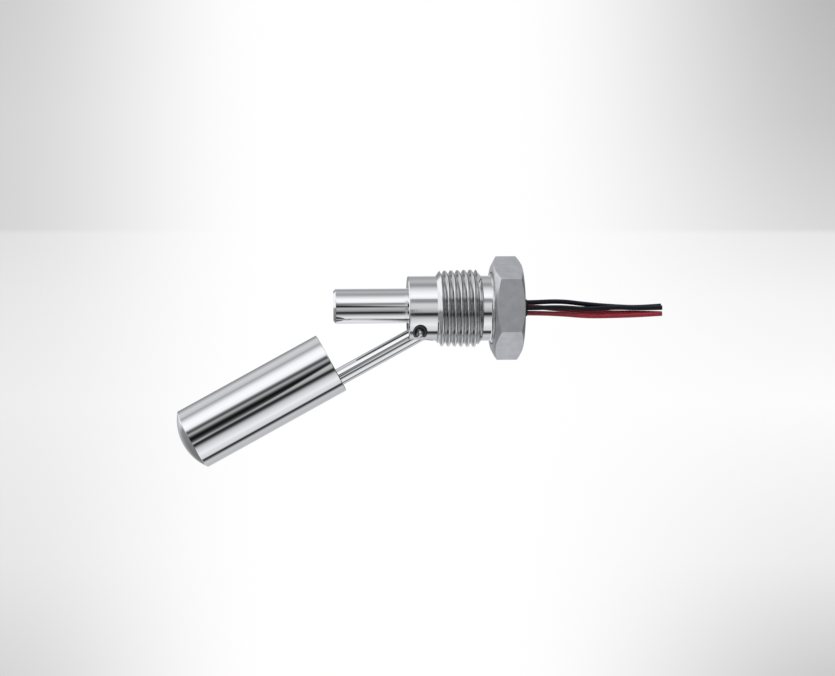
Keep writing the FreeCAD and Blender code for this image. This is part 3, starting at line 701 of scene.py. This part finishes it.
def add_hexagon(shell, sizes):
    """The hexagon with its turned bevels, lightly broken edges and plain faces."""
    half = ACROSS_FLATS / 2
    slope = math.tan(math.radians(28.0))
    front_circle = half - 0.6 * MM
    rear_circle = half - 0.15 * MM
    broken = 0.07 * MM
    edge_turn = math.atan(math.tan(math.pi / 6) - 0.12 * MM / half)
    face_steps = 24
    stations = []
    for side in range(6):
        middle = side * math.pi / 3
        for step in range(face_steps + 1):
            offset = edge_turn * (2 * step / face_steps - 1)
            flat_normal = Vector((0.0, math.cos(middle), math.sin(middle)))
            stations.append((middle + offset, half / math.cos(offset), flat_normal))
    stations.append(stations[0])

    def ring(radius_at, place_at, normal_at):
        """A row of corners round the hexagon, from how far its outline reaches at each angle."""
        row = []
        for angle, reach, flat_normal in stations:
            radial = Vector((0.0, math.cos(angle), math.sin(angle)))
            radius = radius_at(reach)
            place = Vector((place_at(reach), 0.0, 0.0)) + radial * radius
            row.append((place, normal_at(radial, flat_normal)))
        return row

    lean = math.cos(math.atan(slope))
    rise = math.sin(math.atan(slope))

    def cone_normal(way):
        return lambda radial, _: Vector((-way * lean, 0, 0)) + radial * rise

    def face_normal(way):
        return lambda radial, _: Vector((-way, 0.0, 0.0))

    def on_flat(radial, flat_normal):
        return flat_normal

    def front_at(reach):
        return (reach - front_circle) * slope

    def rear_at(reach):
        return HEX_REAR - (reach - rear_circle) * slope

    edge = broken / 2
    rows = [
        ring(lambda reach: sizes.core_radius + 0.5 * MM, lambda reach: 0.0, face_normal(1)),
        ring(lambda reach: front_circle - broken, lambda reach: 0.0, face_normal(1)),
        ring(lambda reach: front_circle + broken, lambda reach: broken * slope, cone_normal(1)),
        ring(lambda reach: reach - broken, lambda reach: front_at(reach - broken), cone_normal(1)),
        ring(lambda reach: reach, lambda reach: front_at(reach) + broken, on_flat),
        ring(lambda reach: reach, lambda reach: rear_at(reach) - broken, on_flat),
        ring(lambda reach: reach - broken, lambda reach: rear_at(reach - broken), cone_normal(-1)),
        ring(lambda reach: rear_circle + edge, lambda reach: HEX_REAR - edge * slope, cone_normal(-1)),
        ring(lambda reach: rear_circle - broken, lambda reach: HEX_REAR, face_normal(-1)),
        ring(lambda reach: COLLAR_HIGH.y, lambda reach: HEX_REAR, face_normal(-1)),
    ]
    for first, second in zip(rows, rows[1:]):
        shell.strip(first, second, 1)


def shank_corners(sizes):
    """The profile of the nose, the core under the thread, the undercut and its fillet."""
    return (
        (NOSE_FRONT, 0.0, 0),
        (NOSE_FRONT, sizes.core_radius - 0.2 * MM, 0.05 * MM),
        (NOSE_FRONT + 0.2 * MM, sizes.core_radius, 0.1 * MM),
        (0.0, sizes.core_radius, 0.6 * MM),
        (0.0, sizes.core_radius + 0.8 * MM, 0),
        (1.0 * MM, sizes.core_radius + 0.8 * MM, 0),
        (1.0 * MM, 0.0, 0),
    )


def cutter(name, shell):
    """A closed shell as a plain object for a boolean."""
    mesh = bpy.data.meshes.new(name)
    mesh.from_pydata(shell.points, [], shell.faces)
    piece = bpy.data.objects.new(name, mesh)
    bpy.context.scene.collection.objects.link(piece)
    return piece


def drum(radius, start, end, centre, segments=96):
    """A closed cylinder along Y as a cutter's shell."""
    shell = Shell()
    swing = Matrix.Rotation(math.pi / 2, 4, "Z")
    turn(shell, ((start, 0, 0), (start, radius, 0), (end, radius, 0), (end, 0, 0)), segments=segments)
    shell.points = [swing @ p + centre for p in shell.points]
    return shell


def slot_shell(sizes):
    """The cutter of the arm's slot: straight walls and a round end, open below and in front."""
    half = sizes.slot_width / 2
    roof = PIVOT.z + (ARM_HIGH.z - ARM_LOW.z) / 2 + 0.3 * MM
    floor = -2 * sizes.core_radius
    front = NOSE_FRONT - 2 * MM
    outline = [(front, half), (front, -half)]
    steps = 32
    outline += [
        (SLOT_END.x + half * math.sin(math.pi * i / steps), -half * math.cos(math.pi * i / steps))
        for i in range(steps + 1)
    ]
    shell = Shell()
    count = len(outline)
    shell.points = [Vector((x, y, z)) for z in (floor, roof) for x, y in outline]
    shell.faces = [[i, (i + 1) % count, count + (i + 1) % count, count + i] for i in range(count)]
    shell.faces += [list(range(count))[::-1], [count + i for i in range(count)]]
    return shell


def add_shank(shell, sizes):
    """The shank, turned and then cut by the slot, the pin's hole and the two recesses."""
    blank = Shell()
    turn(blank, shank_corners(sizes))
    body = cutter("shank blank", blank)
    reach = 3 * sizes.core_radius
    tools = [
        cutter("slot cutter", slot_shell(sizes)),
        cutter("pin cutter", drum((PIN_HIGH.z - PIN_LOW.z) / 2, -reach, reach, PIVOT)),
        cutter("near recess cutter", drum(sizes.recess_radius, -reach, -RECESS_FLOOR, PIVOT)),
        cutter("far recess cutter", drum(sizes.recess_radius, RECESS_FLOOR, reach, PIVOT)),
    ]
    for tool in tools:
        modifier = body.modifiers.new("cut", "BOOLEAN")
        modifier.operation = "DIFFERENCE"
        modifier.solver = "MANIFOLD"
        modifier.object = tool
    bpy.context.view_layer.update()
    cut = bpy.data.meshes.new_from_object(body.evaluated_get(bpy.context.evaluated_depsgraph_get()))
    for piece in [body, *tools]:
        bpy.data.objects.remove(piece)
    profile = rounded_profile(shank_corners(sizes))
    for polygon in cut.polygons:
        places = [cut.vertices[v].co.copy() for v in polygon.vertices]
        corners = [(place, shank_normal(place, polygon, profile)) for place in places]
        shell.points += [place for place, _ in corners]
        base = len(shell.points) - len(corners)
        shell.faces.append(list(range(base, base + len(corners))))
        shell.normals.extend(normal for _, normal in corners)
        # The walls and floors of the two recesses take finish 2, the painted shade inside the recesses.
        away = Vector((polygon.center.x - PIVOT.x, 0.0, polygon.center.z - PIVOT.z)).length
        deep = abs(polygon.center.y) >= RECESS_FLOOR - 1e-6 and away < sizes.recess_radius + 1e-6
        inside = deep and math.hypot(polygon.center.y, polygon.center.z) < sizes.core_radius - 1e-5
        shell.finishes.append(2 if inside else 0)
    bpy.data.meshes.remove(cut)


def shank_normal(place, polygon, profile):
    """The true normal of the shank's surface at a corner of one of its faces."""
    facing = polygon.normal
    outward = Vector((0.0, place.y, place.z)).normalized()
    for (start, start_normal), (end, end_normal) in profile:
        low, high = sorted((start.x, end.x))
        near = sorted((start.y, end.y))
        radius = math.hypot(place.y, place.z)
        if not (low - 1e-5 <= place.x <= high + 1e-5 and near[0] - 2e-5 <= radius <= near[1] + 1e-5):
            continue
        length = (end - start).length
        share = 0.0 if length < 1e-9 else (Vector((place.x, radius)) - start).dot(end - start) / length**2
        mixed = start_normal.lerp(end_normal, min(max(share, 0.0), 1.0))
        normal = Vector((mixed.x, 0, 0)) + outward * mixed.y
        if normal.dot(facing) > 0.97:
            return normal.normalized()
    square = max(abs(c) for c in facing) > 0.9999
    for centre, keep in ((PIVOT, (1, 0, 1)), (SLOT_END, (1, 1, 0))):
        away = Vector(a * k for a, k in zip(place - centre, keep))
        if not square and away.length > 1e-6 and away.normalized().dot(facing) < -0.995:
            return -away.normalized()
    return facing.copy()


class FLOATSWITCH_OT_plug(bpy.types.Operator):
    """Build the plug: hexagon, undercut, taper thread and slotted nose"""

    bl_idname = "floatswitch.plug"
    bl_label = "Threaded Plug"

    def execute(self, context):
        sizes = context.scene.plug_sizes
        shell = Shell()
        add_thread(shell, sizes)
        add_hexagon(shell, sizes)
        add_shank(shell, sizes)
        shell.piece(
            "plug_turned",
            [finish(f"{kind} steel") for kind in ("turned", "satin", "recess shade", "threaded")],
            PLUG,
            ["threaded_plug"],
            "plug_steel",
        )
        return {"FINISHED"}


class FLOATSWITCH_OT_stem(bpy.types.Operator):
    """Build the stem and the crowned hinge pin"""

    bl_idname = "floatswitch.stem"
    bl_label = "Stem and Hinge Pin"

    def execute(self, context):
        radius = (STEM_HIGH.z - STEM_LOW.z) / 2
        centre = (0.0, (STEM_HIGH.z + STEM_LOW.z) / 2)
        stem = Shell()
        edge = 0.55 * MM
        turn(
            stem,
            (
                (STEM_LOW.x, 0.0, 0),
                (STEM_LOW.x, radius - edge, 0.12 * MM),
                (STEM_LOW.x + edge, radius, 0.25 * MM),
                (NOSE_FRONT, radius, 0),
            ),
            centre,
        )
        stem.piece("stem_polished", [finish("polished steel")], PLUG, ["stem_tube"], "stem_steel")
        pin = Shell()
        pin_radius = (PIN_HIGH.z - PIN_LOW.z) / 2
        half = (PIN_HIGH.y - PIN_LOW.y) / 2
        turn(
            pin,
            (
                (-half, 0.0, 0),
                (-half, pin_radius, 0.85 * pin_radius),
                (half, pin_radius, 0.85 * pin_radius),
                (half, 0.0, 0),
            ),
            segments=64,
        )
        across = Matrix.Translation(PIVOT) @ Matrix.Rotation(math.pi / 2, 4, "Z")
        pin.piece("pin_polished", [finish("pin steel")], PLUG, ["hinge_pin"], "pin_steel", across)
        return {"FINISHED"}


class FLOATSWITCH_OT_float(bpy.types.Operator):
    """Build the arm and the float's tube, flat near end and domed far end"""

    bl_idname = "floatswitch.float"
    bl_label = "Float and Arm"

    def execute(self, context):
        centre = (0.0, FLOAT_AXIS_RISE)
        radius = (TUBE_HIGH.y - TUBE_LOW.y) / 2
        arm_radius = (ARM_HIGH.z - ARM_LOW.z) / 2
        steel = [finish("float steel")]
        arm = Shell()
        turn(
            arm,
            (
                (CAP_HIGH.x, arm_radius, 0),
                (ARM_HIGH.x - 0.15 * MM, arm_radius, 0.05 * MM),
                (ARM_HIGH.x, arm_radius - 0.15 * MM, 0.05 * MM),
                (ARM_HIGH.x, 0.0, 0),
            ),
            segments=96,
        )
        arm.piece("arm_polished", steel, FLOAT, ["float_arm"], "arm_steel", ARM_FRAME)
        tube = Shell()
        turn(
            tube,
            (
                (TUBE_LOW.x, radius, 0),
                (TUBE_HIGH.x, radius, 0),
            ),
            centre,
        )
        tube.piece("float_tube_polished", steel, FLOAT, ["float_tube"], "float_steel", ARM_FRAME)
        cap = Shell()
        turn(
            cap,
            (
                (TUBE_HIGH.x, radius, 0),
                (CAP_HIGH.x, radius, 0.2 * MM),
                (CAP_HIGH.x, 0.0, 0),
            ),
            centre,
        )
        cap.piece("float_cap_polished", steel, FLOAT, ["float_cap"], "float_steel", ARM_FRAME)
        self.add_dome(centre, radius, steel)
        return {"FINISHED"}

    def add_dome(self, centre, radius, steel):
        """The domed end: a shallow sphere that meets its short skirt at a clear edge."""
        crown = 2.35 * MM
        skirt = DOME_LOW.x + crown
        sphere = (radius**2 + crown**2) / (2 * crown)
        spread = math.asin(radius / sphere)
        steps = 24
        angles = [spread * i / steps for i in range(steps)]
        corners = [
            (DOME_LOW.x + sphere * (1 - math.cos(angle)), sphere * math.sin(angle), 0) for angle in angles
        ]
        corners += [(skirt, radius, 0.2 * MM), (TUBE_LOW.x, radius, 0)]
        dome = Shell()
        turn(dome, corners, centre)
        middle = Vector((DOME_LOW.x + sphere, *centre))
        at = 0
        for face in dome.faces:
            for vertex in face:
                place = dome.points[vertex]
                if place.x < skirt - 0.05 * MM:
                    dome.normals[at] = (place - middle).normalized()
                at += 1
        dome.piece("float_dome_polished", steel, FLOAT, ["float_dome"], "float_steel", ARM_FRAME)


class FLOATSWITCH_OT_leads(bpy.types.Operator):
    """Lay the four insulated leads from their splices to their cut ends"""

    bl_idname = "floatswitch.leads"
    bl_label = "Leads"

    def execute(self, context):
        for node, route in LEAD_ROUTES.items():
            colour = "black" if "black" in node else "red"
            lead = self.add_lead(node, route, finish(f"{colour} lead"))
            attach(lead, PLUG)
            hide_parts(node)
            core = self.add_core(node, route)
        return {"FINISHED"}

    def add_lead(self, node, route, material):
        """The insulation, a smooth curve whose control points are the route."""
        curve = bpy.data.curves.new(f"{node}_insulation", "CURVE")
        curve.dimensions = "3D"
        curve.bevel_depth = LEAD_RADIUS
        curve.bevel_resolution = 10
        curve.resolution_u = 16
        curve.use_fill_caps = True
        spline = curve.splines.new("NURBS")
        spline.points.add(len(route) - 1)
        for point, place in zip(spline.points, route):
            point.co = (*place, 1.0)
        spline.order_u = 3
        spline.use_endpoint_u = True
        curve.materials.append(material)
        lead = bpy.data.objects.new(f"{node}_insulation", curve)
        bpy.context.scene.collection.objects.link(lead)
        return lead

    def add_core(self, node, route):
        """The seven strands that show in the square cut end."""
        end = Vector(route[-1])
        direction = (end - Vector(route[-2])).normalized()
        strand = 0.1 * MM
        shell = Shell()
        places = [(0.0, 0.0)]
        places += [
            (2 * strand * math.cos(math.pi * i / 3), 2 * strand * math.sin(math.pi * i / 3)) for i in range(6)
        ]
        for centre in places:
            turn(
                shell,
                ((-0.3 * MM, strand, 0), (0.03 * MM, strand, 0.03 * MM), (0.03 * MM, 0.0, 0)),
                centre,
                segments=20,
            )
        place = Matrix.Translation(end) @ direction.to_track_quat("X", "Z").to_matrix().to_4x4()
        return shell.piece(f"{node}_strands", [finish("crimped copper")], PLUG, [], "splice_copper", place)


class FLOATSWITCH_OT_inner(bpy.types.Operator):
    """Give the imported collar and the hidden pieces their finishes"""

    bl_idname = "floatswitch.inner"
    bl_label = "Collar and Inner Pieces"

    def execute(self, context):
        wanted = {
            "exit_collar": "black collar",
            "potting_resin": "black resin",
            "reed_carrier": "insulator",
            "reed_glass": "contact glass",
            "reed_wire": "tinned wire",
            "return_wire": "tinned wire",
            "splice": "crimped copper",
            "arm_magnet": "magnet",
        }
        for kind, finish_name in wanted.items():
            for node, piece in frame["nodes"].items():
                if node.startswith(kind):
                    piece.data.materials.clear()
                    piece.data.materials.append(finish(finish_name))
        return {"FINISHED"}


# The studio


def grey(level):
    """A linear grey from a grey level of the photograph, 0 to 255."""
    return (level / 255) ** 2.2


# What the polished steel sees going round it in the plane across the plug: degrees from the camera,
# with up positive, and a grey level of the photograph. The plug, the stem before it and the sloping
# float each look past the camera on their own side, so each has its own ring of softboxes and flags.
ROOM_BY_PLUG = (
    (-180, 195), (-140, 182), (-114, 196), (-108, 157), (-102, 81), (-97, 24), (-92, 90), (-87, 210),
    (-70, 223), (-62, 237), (-50, 220), (-41, 204), (-34, 170), (-28, 80), (-23.5, 38), (-20, 52),
    (-14.5, 165), (-8, 183), (2, 207), (12, 207), (17, 170), (21, 138), (29, 146), (33.5, 238),
    (42, 253), (58, 237), (72, 203), (84, 150), (92, 150), (106, 183), (140, 152), (160, 208),
)
ROOM_BY_STEM = (
    (-180, 220), (-140, 214), (-118, 230), (-98, 245), (-84, 227), (-75, 212), (-68, 190), (-60, 132),
    (-52, 60), (-46, 28), (-42, 80), (-38, 130), (-32, 158), (-18, 182), (-8, 196), (0, 182),
    (4, 160), (9, 120), (13, 130), (17, 200), (22, 240), (30, 253), (43, 247), (54, 224),
    (63, 196), (72, 164), (80, 154), (90, 166), (104, 181), (124, 144), (143, 176), (165, 222),
)
ROOM_BY_FLOAT = (
    (-173, 188), (-148, 176), (-118, 195), (-111, 172), (-104, 86), (-97, 14), (-91, 26), (-86, 106),
    (-81, 190), (-75, 221), (-55, 236), (-32, 222), (-27, 156), (-22, 66), (-18, 56), (-11, 92),
    (-7, 52), (-1, 8), (5, 56), (13, 166), (16, 142), (20, 78), (24, 86), (28.5, 160),
    (33, 238), (46, 254), (64, 244), (75, 211), (88, 160), (101, 196), (122, 207), (152, 140),
)


def grey_colour(value):
    """A grey with the room's slight blue."""
    return value * 0.975, value * 0.985, value * 1.02, 1.0


def ring_stops(readings):
    """Stops of a ring as a ramp over a full turn, brightened for the steel's own colour."""
    return [((degrees + 180) / 360, grey_colour(grey(level) / POLISH)) for degrees, level in readings]


def side_rooms(wires, x, y, z):
    """What surfaces see that look to the left, past the float, and to the right, past the leads."""
    behind = wires.step(y, 0.6, 0.95)
    overhead = wires.step(z, 0.6, 0.85)
    low_front = wires.both(wires.step(y, 0.3, 0.0), wires.step(z, -0.1, -0.3))
    low_back = wires.both(wires.step(y, 0.2, 0.6), wires.step(z, -0.15, -0.5))
    beside = wires.both(wires.step(x, -0.25, -0.32), wires.step(x, -0.76, -0.66))
    flag = wires.both(beside, wires.step(y, 0.2, 0.0))
    left_room = wires.mix(wires.step(z, -0.2, 0.0), grey_colour(0.3), grey_colour(1.15))
    for share, value in ((behind, 0.5), (low_front, 0.35), (flag, 0.06), (low_back, 0.22)):
        left_room = wires.mix(share, left_room, grey_colour(value))
    right_room = grey_colour(0.1)
    for share, value in ((behind, 0.6), (overhead, 1.3), (low_back, 0.2)):
        right_room = wires.mix(share, right_room, grey_colour(value))
    return left_room, right_room


def softbox_room(wires, x, y, z):
    """The room as the polished steel sees it: a ring for each part and a room at either side."""
    turn_round = wires.calc("ARCTAN2", z, wires.calc("MULTIPLY", y, -1.0))
    share = wires.calc("MULTIPLY_ADD", turn_round, 1 / (2 * math.pi), 0.5)
    plug_ring, stem_ring, float_ring = (
        wires.ramp(share, ring_stops(readings)) for readings in (ROOM_BY_PLUG, ROOM_BY_STEM, ROOM_BY_FLOAT)
    )
    along_float = wires.calc("MULTIPLY_ADD", z, math.tan(ARM_SLOPE), wires.calc("ADD", x, 0.045))
    from_plug = wires.calc("ABSOLUTE", wires.calc("SUBTRACT", x, 0.07))
    nearer = wires.calc("SUBTRACT", from_plug, wires.calc("ABSOLUTE", along_float))
    by_float = wires.both(wires.step(nearer, -0.06, 0.03), wires.step(x, 0.062, 0.052))
    room = wires.mix(wires.step(x, 0.0535, 0.0505), plug_ring, stem_ring)
    room = wires.mix(by_float, room, float_ring)
    left_room, right_room = side_rooms(wires, x, y, z)
    room = wires.mix(wires.step(wires.calc("MAXIMUM", x, along_float), -0.15, -0.3), room, left_room)
    return wires.mix(wires.step(wires.calc("MINIMUM", x, along_float), 0.2, 0.4), room, right_room)


def build_world(settings):
    """The softbox room for reflections and light, and a pale backdrop for the camera."""
    world = bpy.data.worlds.new("softbox room")
    bpy.context.scene.world = world
    world.use_nodes = True
    world.node_tree.nodes.clear()
    wires = Wiring(world.node_tree)
    direction = wires.nodes.new("ShaderNodeTexCoord").outputs["Generated"]
    parts = wires.nodes.new("ShaderNodeSeparateXYZ")
    wires.feed(parts.inputs[0], direction)
    room = softbox_room(wires, *parts.outputs)
    backdrop = backdrop_colour(wires, direction, settings)
    rays = wires.nodes.new("ShaderNodeLightPath")
    background = wires.nodes.new("ShaderNodeBackground")
    result = wires.nodes.new("ShaderNodeOutputWorld")
    wires.feed(background.inputs["Color"], wires.mix(rays.outputs["Is Camera Ray"], room, backdrop))
    wires.feed(result.inputs[0], background.outputs[0])


def camera_axes(settings):
    """The camera's right, up and forward directions."""
    view = Vector(
        (
            math.sin(settings.yaw) * math.cos(settings.rise),
            math.cos(settings.yaw) * math.cos(settings.rise),
            math.sin(settings.rise),
        )
    )
    level_right = Vector((math.cos(settings.yaw), -math.sin(settings.yaw), 0.0))
    level_up = level_right.cross(view)
    right = level_right * math.cos(settings.roll) - level_up * math.sin(settings.roll)
    up = level_up * math.cos(settings.roll) + level_right * math.sin(settings.roll)
    return right, up, view


# How dark the photograph's backdrop gets at its left and right edges, by height above the middle of
# the frame as a slope. The step is the line between the table and the wall.
BACKDROP_EDGES = (
    (-0.24, 0.33, 0.4), (-0.16, 0.21, 0.17), (-0.045, 0.15, 0.03), (0.027, 0.2, 0.1),
    (0.0763, 0.26, 0.21), (0.0773, 0.34, 0.31), (0.156, 0.345, 0.44), (0.24, 0.39, 0.52),
)


def backdrop_colour(wires, direction, settings):
    """White in the middle and pale grey to the sides, with the wall a little darker than the table."""
    amounts = []
    for axis in camera_axes(settings):
        along = add_node(wires.nodes, "ShaderNodeVectorMath", operation="DOT_PRODUCT")
        along.inputs[1].default_value = axis
        wires.feed(along.inputs[0], direction)
        amounts.append(along.outputs["Value"])
    across = wires.calc("DIVIDE", amounts[0], amounts[2])
    height = wires.calc("DIVIDE", amounts[1], amounts[2])
    stops = [(slope + 0.5, (left, right, 0.0, 1.0)) for slope, left, right in BACKDROP_EDGES]
    edges = wires.nodes.new("ShaderNodeSeparateColor")
    wires.feed(edges.inputs[0], wires.ramp(wires.calc("ADD", height, 0.5), stops))
    left = wires.both(wires.step(across, -0.1, -0.32), edges.outputs[0])
    right = wires.both(wires.step(across, 0.06, 0.32), edges.outputs[1])
    in_frame = wires.step(amounts[2], 0.7, 0.92)
    shade = wires.both(wires.calc("ADD", left, right), in_frame)
    level = wires.calc("SUBTRACT", 1.0, shade, clamp=True)
    colour = wires.nodes.new("ShaderNodeCombineColor")
    for socket in colour.inputs:
        wires.feed(socket, level)
    return colour.outputs[0]


def add_camera(settings):
    """The camera, placed so that the plug's axis falls where the photograph has it."""
    image_width = 835
    focal = 1400.0
    axis_point = Vector((-16.35 * MM, 0.0, 0.0))
    axis_above_middle = 29.33
    right, up, view = camera_axes(settings)
    drop = axis_above_middle / focal * settings.distance
    place = axis_point - view * settings.distance - up * drop
    data = bpy.data.cameras.new("camera")
    data.sensor_width = 36.0
    data.lens = focal / image_width * data.sensor_width
    data.clip_start = 0.01
    data.clip_end = 20.0
    camera = bpy.data.objects.new("camera", data)
    rotation = Matrix((right, up, -view)).transposed()
    camera.matrix_world = Matrix.Translation(place) @ rotation.to_4x4()
    bpy.context.scene.collection.objects.link(camera)
    bpy.context.scene.camera = camera


def add_lamp(name, place, target, size, power):
    """A large square softbox that lights the object but doesn't show in its polish."""
    data = bpy.data.lights.new(name, "AREA")
    data.shape = "SQUARE"
    data.size = size
    data.energy = power
    lamp = bpy.data.objects.new(name, data)
    lamp.location = place
    lamp.rotation_euler = (target - Vector(place)).to_track_quat("-Z", "Y").to_euler()
    lamp.visible_glossy = False
    bpy.context.scene.collection.objects.link(lamp)


def add_floor():
    """A pale floor well below the object, which fades out below the camera's frame."""
    reach = 0.16
    rings = 12
    sides = 96
    shell = Shell()
    up = Vector((0.0, 0.0, 1.0))
    middle = (CAD_BOX[0] + CAD_BOX[1]) / 2
    height = CAD_BOX[0].z - 0.085
    rows = []
    for ring in range(rings + 1):
        radius = reach * ring / rings
        rows.append(
            [
                (
                    Vector((
                        middle.x + radius * math.cos(2 * math.pi * i / sides),
                        middle.y + radius * math.sin(2 * math.pi * i / sides),
                        height,
                    )),
                    up,
                )
                for i in range(sides + 1)
            ]
        )
    for first, second in zip(rows, rows[1:]):
        shell.strip(first, second)
    mesh = bpy.data.meshes.new("floor")
    mesh.from_pydata(shell.points, [], shell.faces)
    material = grained("pale floor", (0.9, 0.9, 0.9), 0.0, 0.8, 0.1, 0.03, 300.0)
    wires = Wiring(material.node_tree)
    from_middle = add_node(wires.nodes, "ShaderNodeVectorMath", operation="DISTANCE")
    from_middle.inputs[1].default_value = (middle.x, middle.y, height)
    wires.feed(from_middle.inputs[0], wires.nodes.new("ShaderNodeTexCoord").outputs["Object"])
    mixed = wires.nodes.new("ShaderNodeMixShader")
    wires.feed(mixed.inputs[0], wires.step(from_middle.outputs["Value"], reach, reach / 2))
    wires.feed(mixed.inputs[1], wires.nodes.new("ShaderNodeBsdfTransparent").outputs[0])
    wires.feed(mixed.inputs[2], wires.nodes["Principled BSDF"].outputs[0])
    wires.feed(wires.nodes["Material Output"].inputs["Surface"], mixed.outputs[0])
    mesh.materials.append(material)
    floor = bpy.data.objects.new("floor", mesh)
    bpy.context.scene.collection.objects.link(floor)
    floor.visible_glossy = False


class FLOATSWITCH_OT_studio(bpy.types.Operator):
    """Set up the floor, the light and the camera"""

    bl_idname = "floatswitch.studio"
    bl_label = "Studio"

    def execute(self, context):
        settings = context.scene.studio_settings
        context.scene.view_settings.view_transform = "Standard"
        build_world(settings)
        add_camera(settings)
        target = Vector((-20 * MM, 0.0, -10 * MM))
        add_lamp("softbox above", (-0.05, -0.15, 0.5), target, 0.4, settings.lamp_power)
        add_lamp("softbox left", (-0.45, -0.35, 0.1), target, 0.3, settings.lamp_power * 0.5)
        add_floor()
        return {"FINISHED"}


class FLOATSWITCH_PT_panel(bpy.types.Panel):
    """The float switch's pieces and settings"""

    bl_idname = "FLOATSWITCH_PT_panel"
    bl_label = "Float Switch"
    bl_space_type = "VIEW_3D"
    bl_region_type = "UI"
    bl_category = "Float Switch"

    def draw(self, context):
        layout = self.layout
        for operator in OPERATORS:
            layout.operator(operator.bl_idname)
        for holder in ("plug_sizes", "steel_finish", "studio_settings"):
            group = getattr(context.scene, holder)
            box = layout.box()
            for name in group.bl_rna.properties.keys():
                if name not in ("rna_type", "name"):
                    box.prop(group, name)


HOLDERS = {
    "plug_sizes": PlugSizes,
    "steel_finish": SteelFinish,
    "studio_settings": StudioSettings,
}
OPERATORS = (
    FLOATSWITCH_OT_plug,
    FLOATSWITCH_OT_stem,
    FLOATSWITCH_OT_float,
    FLOATSWITCH_OT_leads,
    FLOATSWITCH_OT_inner,
    FLOATSWITCH_OT_studio,
)


def register():
    """Makes the settings, the operators and the panel known to Blender."""
    for holder, group in HOLDERS.items():
        bpy.utils.register_class(group)
        setattr(bpy.types.Scene, holder, bpy.props.PointerProperty(type=group))
    for operator in OPERATORS:
        bpy.utils.register_class(operator)
    bpy.utils.register_class(FLOATSWITCH_PT_panel)


def unregister():
    """Takes them away again."""
    bpy.utils.unregister_class(FLOATSWITCH_PT_panel)
    for operator in reversed(OPERATORS):
        bpy.utils.unregister_class(operator)
    for holder, group in HOLDERS.items():
        delattr(bpy.types.Scene, holder)
        bpy.utils.unregister_class(group)


def main():
    """Builds the whole scene."""
    register()
    bpy.ops.floatswitch.studio()
    bpy.ops.floatswitch.plug()
    bpy.ops.floatswitch.stem()
    bpy.ops.floatswitch.float()
    bpy.ops.floatswitch.leads()
    bpy.ops.floatswitch.inner()


if __name__ == "__main__":
    main()
